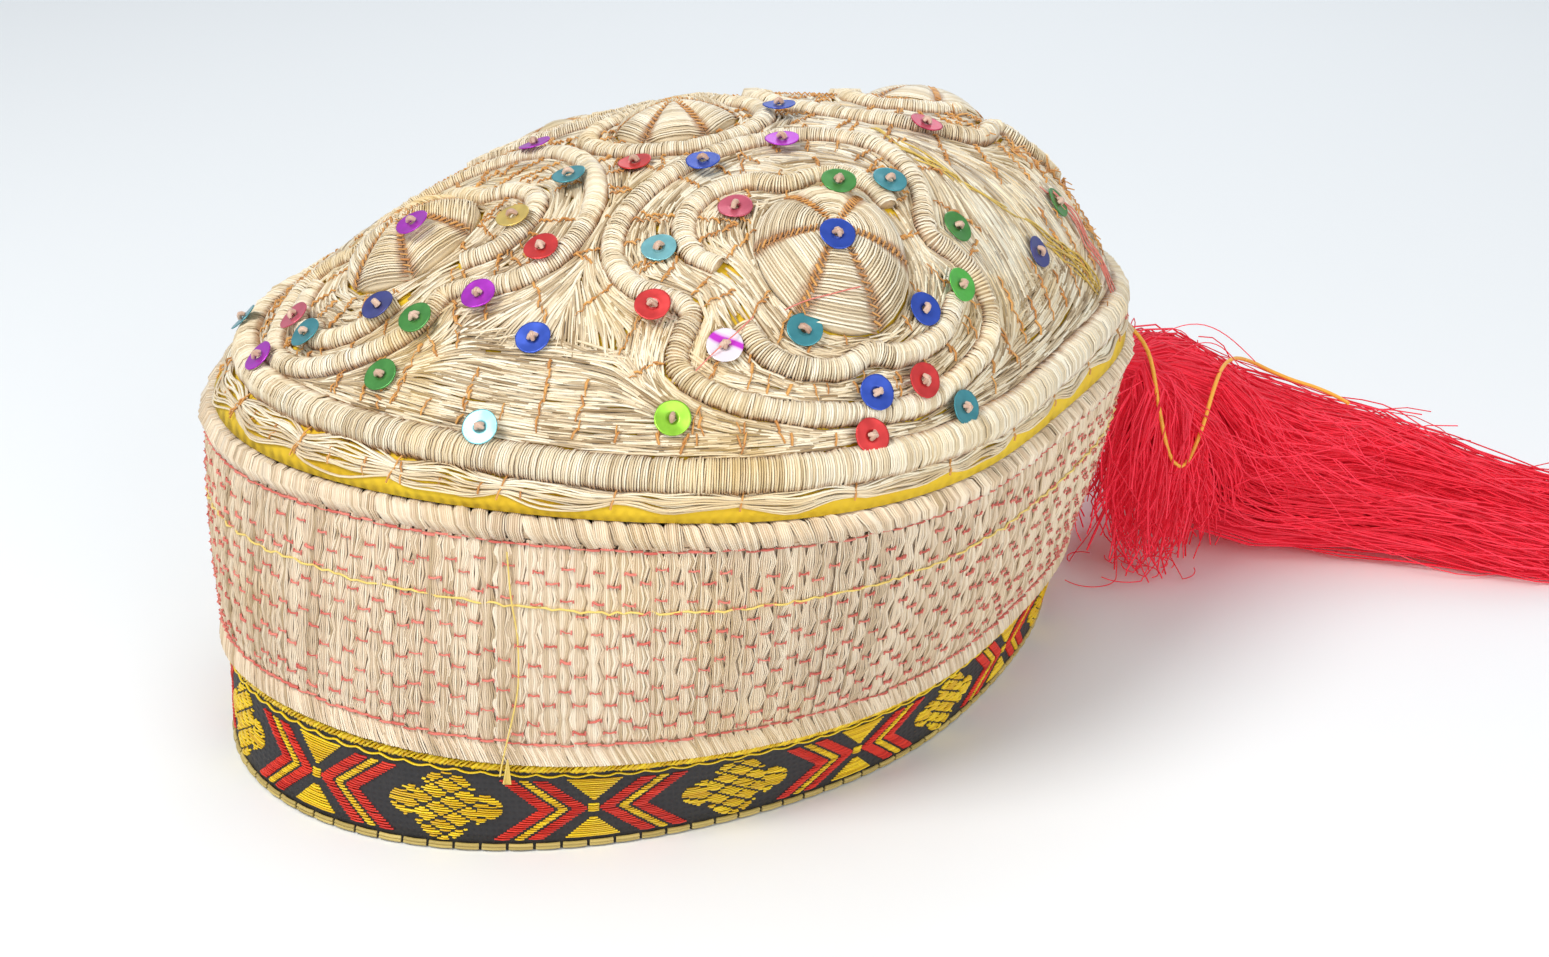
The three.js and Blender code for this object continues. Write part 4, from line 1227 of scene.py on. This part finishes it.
# sequins: thin domed foil discs, each tied down by a knot
sequinShape = {
    "radii": (0.7, 1.4, 2.3, 3.05, 3.3), "around": 28, "top": 0.1, "under": -0.12, "dome": 0.16, "warp": 0.12,
    "least": 1.75, "knotThread": 0.85,
}
tones = {
    "blue": (0.02, 0.07, 0.45), "navy": (0.05, 0.06, 0.25), "red": (0.62, 0.03, 0.03),
    "magenta": (0.42, 0.02, 0.52), "teal": (0.05, 0.27, 0.32), "cyan": (0.2, 0.5, 0.55),
    "green": (0.06, 0.27, 0.05), "lime": (0.28, 0.6, 0.03), "pink": (0.6, 0.1, 0.16),
    "gold": (0.66, 0.48, 0.12),
}
foils = {"sequin_" + tone: foilFinish("foil_" + tone, color) for tone, color in tones.items()}
ownFoils = {
    "sequin_12": shinyFinish("foil_shiny"),
    "sequin_11": foilFinish("foil_bright_green", (0.1, 0.5, 0.07)),
    "sequin_24": foilFinish("foil_crimson", (0.5, 0.03, 0.09)),
}
looseSequins = {
    "foil_edge_left": {"x": -73.1, "y": -44.9, "slot": "sequin_magenta"},
    "foil_far_left": {"x": -81.0, "y": -17.8, "slot": "sequin_teal"},
}
rng = np.random.default_rng(700)
knots = []


def addSequin(name, middle, foil, slotName, stands=()):
    ground, normal = crownPlace(middle[0], middle[1])
    middle = middle + normal * max(0.0, sequinShape["least"] - float(np.dot(middle - ground, normal)))
    first = unit(np.cross(normal, [0.3, 1, 0.1]))
    second = np.cross(normal, first)
    turn = rng.normal(0, 0.05, 2)[0] * 30
    radii, around = sequinShape["radii"], sequinShape["around"]
    section = [(radius, sequinShape["top"]) for radius in radii]
    section += [(radius, sequinShape["under"]) for radius in reversed(radii)]
    verts = []
    for radius, side in section:
        share = radius / radii[-1]
        for a in np.arange(around) / around * fullTurn:
            rough = 0.06 * math.sin(a * 14) + 0.03 * rng.normal() if share == 1 else 0
            high = sequinShape["dome"] * share ** 2 + sequinShape["warp"] * math.sin(2 * a + turn) * share
            plane = first * (radius + rough) * math.cos(a) + second * (radius + rough) * math.sin(a)
            verts.append(middle + plane + normal * (high + side))
    verts = np.array(verts)
    addPiece(name, verts, outward(verts, gridFaces(len(section), around, True)), foil, slotName, stands)
    for _ in range(2):
        angle = rng.uniform(0, np.pi)
        way = first * math.cos(angle) + second * math.sin(angle)
        size = 0.75 + 0.3 * rng.random()
        t = np.linspace(-1, 1, 5)
        points = middle + way * (t * size)[:, None] + normal * (0.35 + 0.75 * (1 - t * t))[:, None]
        knots.append(strand(points, tint=rng.random(), girth=0.8 + 0.5 * (1 - t * t)))


slotOf = {row["node"]: row["material_slot"] for row in frame["record"]["subparts"]}
for node in sorted(slotOf):
    if node.startswith("sequin"):
        middle = np.mean(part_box(node), axis=0) / mm
        addSequin("foil_" + node, middle, ownFoils.get(node, foils[slotOf[node]]), slotOf[node], [node])
for name, loose in looseSequins.items():
    addSequin(name, crownPlace(loose["x"], loose["y"], 4.0)[0], foils[loose["slot"]], loose["slot"])
addThreads("sequin_knots", knots, sequinShape["knotThread"], finishes["knot"], (), 6)
print("sequins sewn")

# stray threads and thread ends that lie over the work, as plan points with their lift
redStrays = [
    [(23.5, -69, 1.8), (27, -68, 3.6), (31, -67, 5.2), (35.5, -65.4, 6.6)],
    [(8, -78, 1.8), (12, -75.4, 2.9), (15, -73.4, 3.1), (18, -70.6, 2.4)],
]
pinkRoute = [
    (76, -6.4, 1.4), (83.3, -2.9, 2.2), (86.7, -2.5, 1.6), (89.7, -1.7, 2.3), (93, -1.1, 1.8),
    (96.2, 0.8, 2.4),
]
yellowRoute = [
    (41.2, -15.9), (46.9, -24), (52.5, -27.2), (58.4, -27.6), (64.5, -26), (70.9, -22), (77.7, -17.6),
    (85.1, -11.2), (90, -6.5),
]
yellowClear = {"spots": ((74.1, -25.2), (80.2, -5.7)), "reach": 4.2}
tuftSpots = ((71.3, -1.5), (80.2, 8.1), (64, -6), (84, 12), (77, 1), (88, 5), (60, 2), (91, -8))
lines = []
for stray in redStrays:
    line = smoothLine(stray, False, 1.2)
    lines.append(strand(onCrown(line, line[:, 2]), tint=0.8))
for k in range(5):
    line = smoothLine(pinkRoute, False, 1.5)
    line[:, 1] += (k - 2) * 0.35 + 0.7 * np.sin(np.arange(len(line)) * (0.6 + 0.1 * k) + k * 2)
    points = onCrown(line, line[:, 2] + 0.15 * k - 0.3)
    lines.append(strand(points[int(rng.uniform(0, 4)):], tint=0.95, girth=1.1))
addThreads("red_strays", lines, 0.32, finishes["redThread"])

lines = []
for k in range(44):
    line = smoothLine(yellowRoute, False, 1.6)
    first = int(rng.uniform(0, len(line) - 5))
    line = line[first:first + int(rng.uniform(4, 11))]
    aside = 1.5 * rng.normal() + 0.5 * np.sin(np.arange(len(line)) * 0.8 + k * 2.2)
    lift = 0.9 + rng.uniform(0.1, 0.9) * np.sin(np.linspace(0, np.pi, len(line)))
    points = crownPlace(line[:, 0] + 0.3 * aside, line[:, 1] + aside, lift)[0]
    apart = min(np.hypot(*(points[:, :2] - spot).T).min() for spot in yellowClear["spots"])
    if apart > yellowClear["reach"]:
        lines.append(strand(points, tint=rng.random(), girth=1 + 0.2 * rng.normal()))
addThreads("yellow_couched_bundle", lines, 0.42, finishes["goldenThread"])

lines = []
for x, y in tuftSpots:
    for k in range(8):
        heading, size = rng.uniform(0, fullTurn), rng.uniform(1.0, 2.6)
        t = np.linspace(0, 1, 5)
        curl = heading + 1.2 * t * rng.normal()
        lift = 0.9 + 2.2 * t * rng.uniform(0.3, 1)
        points = crownPlace(x + size * t * np.cos(curl), y + size * t * np.sin(curl), lift)[0]
        lines.append(strand(points, tint=rng.random(), girth=1 - 0.4 * t))
addThreads("thread_end_tufts", lines, 0.46, finishes["couching"])

# a yellow thread hangs down the band and ends in a frayed tail
strayTail = {"bearing": 253, "top": 63, "low": 17.5, "split": 21, "tail": 5.5, "proud": 2.0}
heights = np.linspace(strayTail["top"], strayTail["low"], 24)
bearings = np.radians(strayTail["bearing"] - 0.9 * np.sin(heights * 0.12))
lines = [strand(wallPoint(bearings, heights, strayTail["proud"] + 0.25 * np.sin(heights * 0.5)), tint=0.6)]
for k in range(7):
    spread = np.linspace(0, 1, 5)
    bearings = np.radians(strayTail["bearing"] + (k - 3) * 0.13 * spread)
    heights = strayTail["split"] - strayTail["tail"] * spread
    tail = wallPoint(bearings, heights, strayTail["proud"] - 0.6 * spread)
    lines.append(strand(tail, tint=rng.random()))
addThreads("yellow_stray", lines, 0.36, finishes["yellowThread"])

# tassel: the locks of the part's source, each point with its half width and half height
longLocks = [
    {"share": 0.33, "route": [
        (102, 38, 51, 2, 2), (107, 41, 50, 7, 6.5), (117, 54, 41, 17, 12), (130, 66, 26, 24, 15),
        (152, 69, 17, 26, 16), (176, 58, 17, 22, 15), (199, 45, 14, 15, 12), (224, 34, 11, 8, 8)]},
    {"share": 0.17, "route": [
        (102, 37, 50, 2, 2), (109, 39, 48, 7, 6), (118, 44, 36, 13, 9), (131, 52, 17, 17, 11),
        (153, 48, 12, 18, 11.5), (176, 39, 10, 13, 9.5), (197, 31, 7, 9, 6.5), (216, 26, 4, 3, 3)]},
    {"share": 0.16, "route": [
        (102, 39, 51, 2, 2), (108, 43, 49, 6, 6), (114, 62, 38, 14, 10), (130, 82, 17, 19, 12),
        (154, 88, 12, 17, 11), (177, 75, 10, 14, 9.5), (197, 57, 8, 9, 7), (214, 44, 5, 4, 4)]},
]
shortLocks = [
    {"share": 0.12, "route": [
        (102, 37, 52, 2, 2), (109, 38, 49, 6, 5), (112, 35, 38, 10, 6), (113, 31, 20, 11, 6.5),
        (112, 27, 5.5, 8, 5)]},
    {"share": 0.12, "route": [
        (102, 38, 52, 2, 2), (110, 40, 49, 6, 5), (117, 41, 38, 11, 7), (121, 40, 20, 12, 7.5),
        (123, 38, 6, 9, 5.5)]},
    {"share": 0.10, "route": [
        (102, 39, 52, 2, 2), (108, 44, 49, 6, 5), (107, 55, 38, 10, 7), (106, 62, 20, 11, 8),
        (105, 66, 6.5, 9, 6)]},
]
tasselFloss = {
    "strands": 2950, "thread": 0.46, "clumps": 20, "loose": 190, "loosePoints": 26, "curls": 15, "loops": 16,
    "crossing": 60, "core": 0.6, "coreAround": 14, "coreFloor": 0.6, "lastX": 230,
    "thinFrom": 115, "thinOver": 90, "thin": 0.5, "aside": 6.5,
}
longStyle = {"points": 12, "coreRings": 12, "shortest": 0.8, "longest": 1.0}
shortStyle = {"points": 9, "coreRings": 5, "shortest": 0.62, "longest": 0.92}
rng = np.random.default_rng(800)


# a smooth wander of a few waves, nothing at the root and as wide as size at the tip
def wander(number, size, waves=2.2):
    t = np.linspace(0, 1, number)[:, None]
    total = np.zeros((number, 3))
    for k in range(3):
        phase, speed = rng.uniform(0, fullTurn, 3), waves * rng.uniform(0.5, 1.4, 3)
        total += np.sin(t * speed * fullTurn + phase) * rng.normal(0, 1, 3)
    return total * t ** 0.8 * size


# a lock's centre line, half widths and heights, and its two cross directions
def lockFrame(lock, number):
    fine = smoothLine(lock["route"], False, 1.0)
    places = np.linspace(0, len(fine) - 1, number)
    table = np.stack([np.interp(places, np.arange(len(fine)), fine[:, k]) for k in range(5)], -1)
    far = ease(np.clip((table[:, 0] - tasselFloss["thinFrom"]) / tasselFloss["thinOver"], 0, 1))
    table[:, 3:] *= (1 - tasselFloss["thin"] * far)[:, None]
    table[:, 1] += tasselFloss["aside"] * far
    along = unit(np.gradient(table[:, :3], axis=0))
    side = unit(np.stack([-along[:, 1], along[:, 0], np.zeros(number)], -1))
    return table[:, :3], table[:, 3], table[:, 4], side, np.cross(along, side)


# keeps points over the floor and within the tassel's length
def keptIn(points, floorHeight):
    points[:, 2] = np.maximum(points[:, 2], floorHeight)
    points[:, 0] = np.minimum(points[:, 0], tasselFloss["lastX"])
    return points


# each lock's dark core is painted shade between its strands
def lockCore(lock, style):
    centre, wide, high, side, up = lockFrame(lock, style["points"])
    around, share = tasselFloss["coreAround"], tasselFloss["core"]
    turns = np.arange(around) / around * fullTurn
    across = side[:, None] * (wide[:, None] * share * np.cos(turns))[..., None]
    rise = up[:, None] * (high[:, None] * share * np.sin(turns))[..., None]
    verts = (centre[:, None] + across + rise)[:style["coreRings"]].reshape(-1, 3)
    verts[:, 2] = np.maximum(verts[:, 2], tasselFloss["coreFloor"])
    faces = gridFaces(style["coreRings"], around, False) + endFaces(style["coreRings"], around)
    return verts, outward(verts, faces)


# strands in clumps, each clump with a drift and a sway of its own
def lockStrands(lock, style):
    number = style["points"]
    centre, wide, high, side, up = lockFrame(lock, number)
    clumps, lines = [], []
    for c in range(tasselFloss["clumps"]):
        drift = (c + rng.uniform(-0.3, 0.3)) / tasselFloss["clumps"] * fullTurn
        drift = drift + np.cumsum(rng.normal(0, 0.12, number))
        clumps.append((drift, rng.uniform(0.66, 0.96), wander(number, 1.5, 1.0)))
    for k in range(int(tasselFloss["strands"] * lock["share"])):
        drift, reach, sway = clumps[k % len(clumps)]
        angle = drift + rng.normal(0, 0.2) + rng.normal(0, 0.16) * np.linspace(0, 1, number)
        out = np.clip(reach + rng.normal(0, 0.12), 0.5, 1.05)
        across = side * (wide * out * np.cos(angle))[:, None]
        points = centre + across + up * (high * out * np.sin(angle))[:, None]
        points = points + sway + wander(number, 1.8, 1.15)
        last = int(number * rng.uniform(style["shortest"], style["longest"])) + 1
        points = keptIn(points[:max(5, last)], 0.3 + 0.6 * rng.random())
        lines.append(strand(points, girth=0.75 + 0.4 * rng.random(), tint=rng.random()))
    return lines


# looser strands that lie over the lock and cross the rest
def looseStrands(lock):
    number = tasselFloss["loosePoints"]
    centre, wide, high, side, _ = lockFrame(lock, number)
    upright = np.array([0, 0, 1.0])
    lines = []
    for k in range(int(tasselFloss["loose"] * lock["share"])):
        angle = rng.uniform(-0.4, np.pi + 0.4) + 0.6 * np.linspace(-1, 1, number) * rng.normal()
        rise = upright * (high * np.sin(angle))[:, None]
        points = centre + side * (wide * np.cos(angle))[:, None] + rise + wander(number, 3.4, 1.5)
        points = keptIn(points, 0.3 + 0.5 * rng.random())
        points = points[int(rng.uniform(0, 8)):int(rng.uniform(18, 27))]
        lines.append(strand(points, girth=0.6 + 0.2 * rng.random(), tint=rng.random()))
    return lines


# a curled end that drops to the floor below the short locks
def curlLine():
    spot = np.array([rng.uniform(103, 121), rng.uniform(30, 42), rng.uniform(14, 24)])
    heading, bend = rng.uniform(-2.4, -0.6), rng.choice([-1, 1]) * rng.uniform(0.12, 0.36)
    trail = [spot]
    for i in range(int(rng.uniform(16, 30))):
        heading += bend * rng.uniform(0.5, 1.5)
        spot = spot + np.array([math.cos(heading), math.sin(heading), -1.7 if spot[2] > 2 else 0])
        spot[2] = max(spot[2], 0.35)
        trail.append(spot)
    return strand(np.array(trail), girth=0.65, tint=rng.random())


# a random place between two corners
def placeIn(low, high):
    return np.array([rng.uniform(a, b) for a, b in zip(low, high)])


def archLine(first, last, lift, number):
    t = np.linspace(0, 1, number)[:, None]
    return first * (1 - t) + last * t + lift * np.sin(np.pi * t)


# a loop that stands up from the tassel's root
def loopLine():
    first = placeIn((103, 36, 47), (116, 46, 54))
    last = first + placeIn((8, -4, -20), (30, 14, -5))
    lift = np.array([rng.uniform(-2, 3), 0, rng.uniform(3, 9)])
    return strand(archLine(first, last, lift, 16), girth=0.6, tint=rng.random())


# a strand that crosses the long locks on their near side
def crossingLine():
    first = placeIn((112, 36, 26), (160, 46, 40))
    last = first + placeIn((8, 6, -24), (34, 14, -6))
    points = archLine(first, last, placeIn((-5, -9, -3), (5, -4, 5)), 14) + wander(14, 0.8, 1)
    points[:, 2] = np.maximum(points[:, 2], 0.5)
    return strand(points, girth=0.6, tint=rng.uniform(0.5, 1))


strandLines, coreVerts, coreFaces = [], [], []
for locks, style in ((longLocks, longStyle), (shortLocks, shortStyle)):
    for lock in locks:
        verts, faces = lockCore(lock, style)
        coreFaces += [tuple(len(coreVerts) + v for v in face) for face in faces]
        coreVerts += list(verts)
        strandLines += lockStrands(lock, style) + looseStrands(lock)
strandLines += [curlLine() for _ in range(tasselFloss["curls"])]
strandLines += [loopLine() for _ in range(tasselFloss["loops"])]
strandLines += [crossingLine() for _ in range(tasselFloss["crossing"])]
addPiece(
    "tassel_core", coreVerts, coreFaces, finishes["tasselPaintedShade"], "tassel_floss", ["tassel"], {"tint": 0.45})
rng.shuffle(strandLines)
third = len(strandLines) // 3 + 1
for k in range(3):
    lines = strandLines[k * third:(k + 1) * third]
    addThreads(f"tassel_strands_{k + 1}", lines, tasselFloss["thread"], finishes["tassel"])
print("tassel combed")

# floor and light
room = {"half": 9, "low": -0.0002, "air": (0.86, 0.91, 0.95, 1), "strength": 0.62}
warmLight, paleLight, coolLight = (1, 0.97, 0.93), (1, 0.97, 0.94), (0.96, 0.98, 1)
lights = {
    "keyLight": {"place": (-0.5, -0.5, 0.85), "aim": (0.02, 0, 0.05), "size": 0.45, "power": 7.5},
    "fillLight": {"place": (0.6, -0.9, 0.4), "aim": (0.05, 0, 0.04), "size": 0.8, "power": 4.8},
    "backLight": {"place": (0.2, 0.9, 0.8), "aim": (0.02, 0, 0.08), "size": 0.8, "power": 2.5},
}


def addFloor():
    mesh = bpy.data.meshes.new("floor")
    half, low = room["half"], room["low"]
    corners = [(-half, -half, low), (half, -half, low), (half, half, low), (-half, half, low)]
    mesh.from_pydata(corners, [], [(0, 1, 2, 3)])
    mesh.materials.append(Shade("paleFloor").finish((0.86, 0.88, 0.9, 1), 0.75))
    linked("floor", mesh)


def addLight(name, light, color):
    data = bpy.data.lights.new(name, "AREA")
    data.shape = "DISK"
    data.size = light["size"]
    data.energy = light["power"]
    data.color = color
    lamp = linked(name, data)
    lamp.location = light["place"]
    lamp.rotation_mode = "QUATERNION"
    lamp.rotation_quaternion = (Vector(light["aim"]) - Vector(light["place"])).to_track_quat("-Z", "Y")


addFloor()
world = bpy.data.worlds.new("softRoom")
bpy.context.scene.world = world
world.use_nodes = True
world.node_tree.nodes["Background"].inputs["Color"].default_value = room["air"]
world.node_tree.nodes["Background"].inputs["Strength"].default_value = room["strength"]
for (name, light), color in zip(lights.items(), (warmLight, paleLight, coolLight)):
    addLight(name, light, color)
bpy.context.scene.view_settings.view_transform = "Standard"
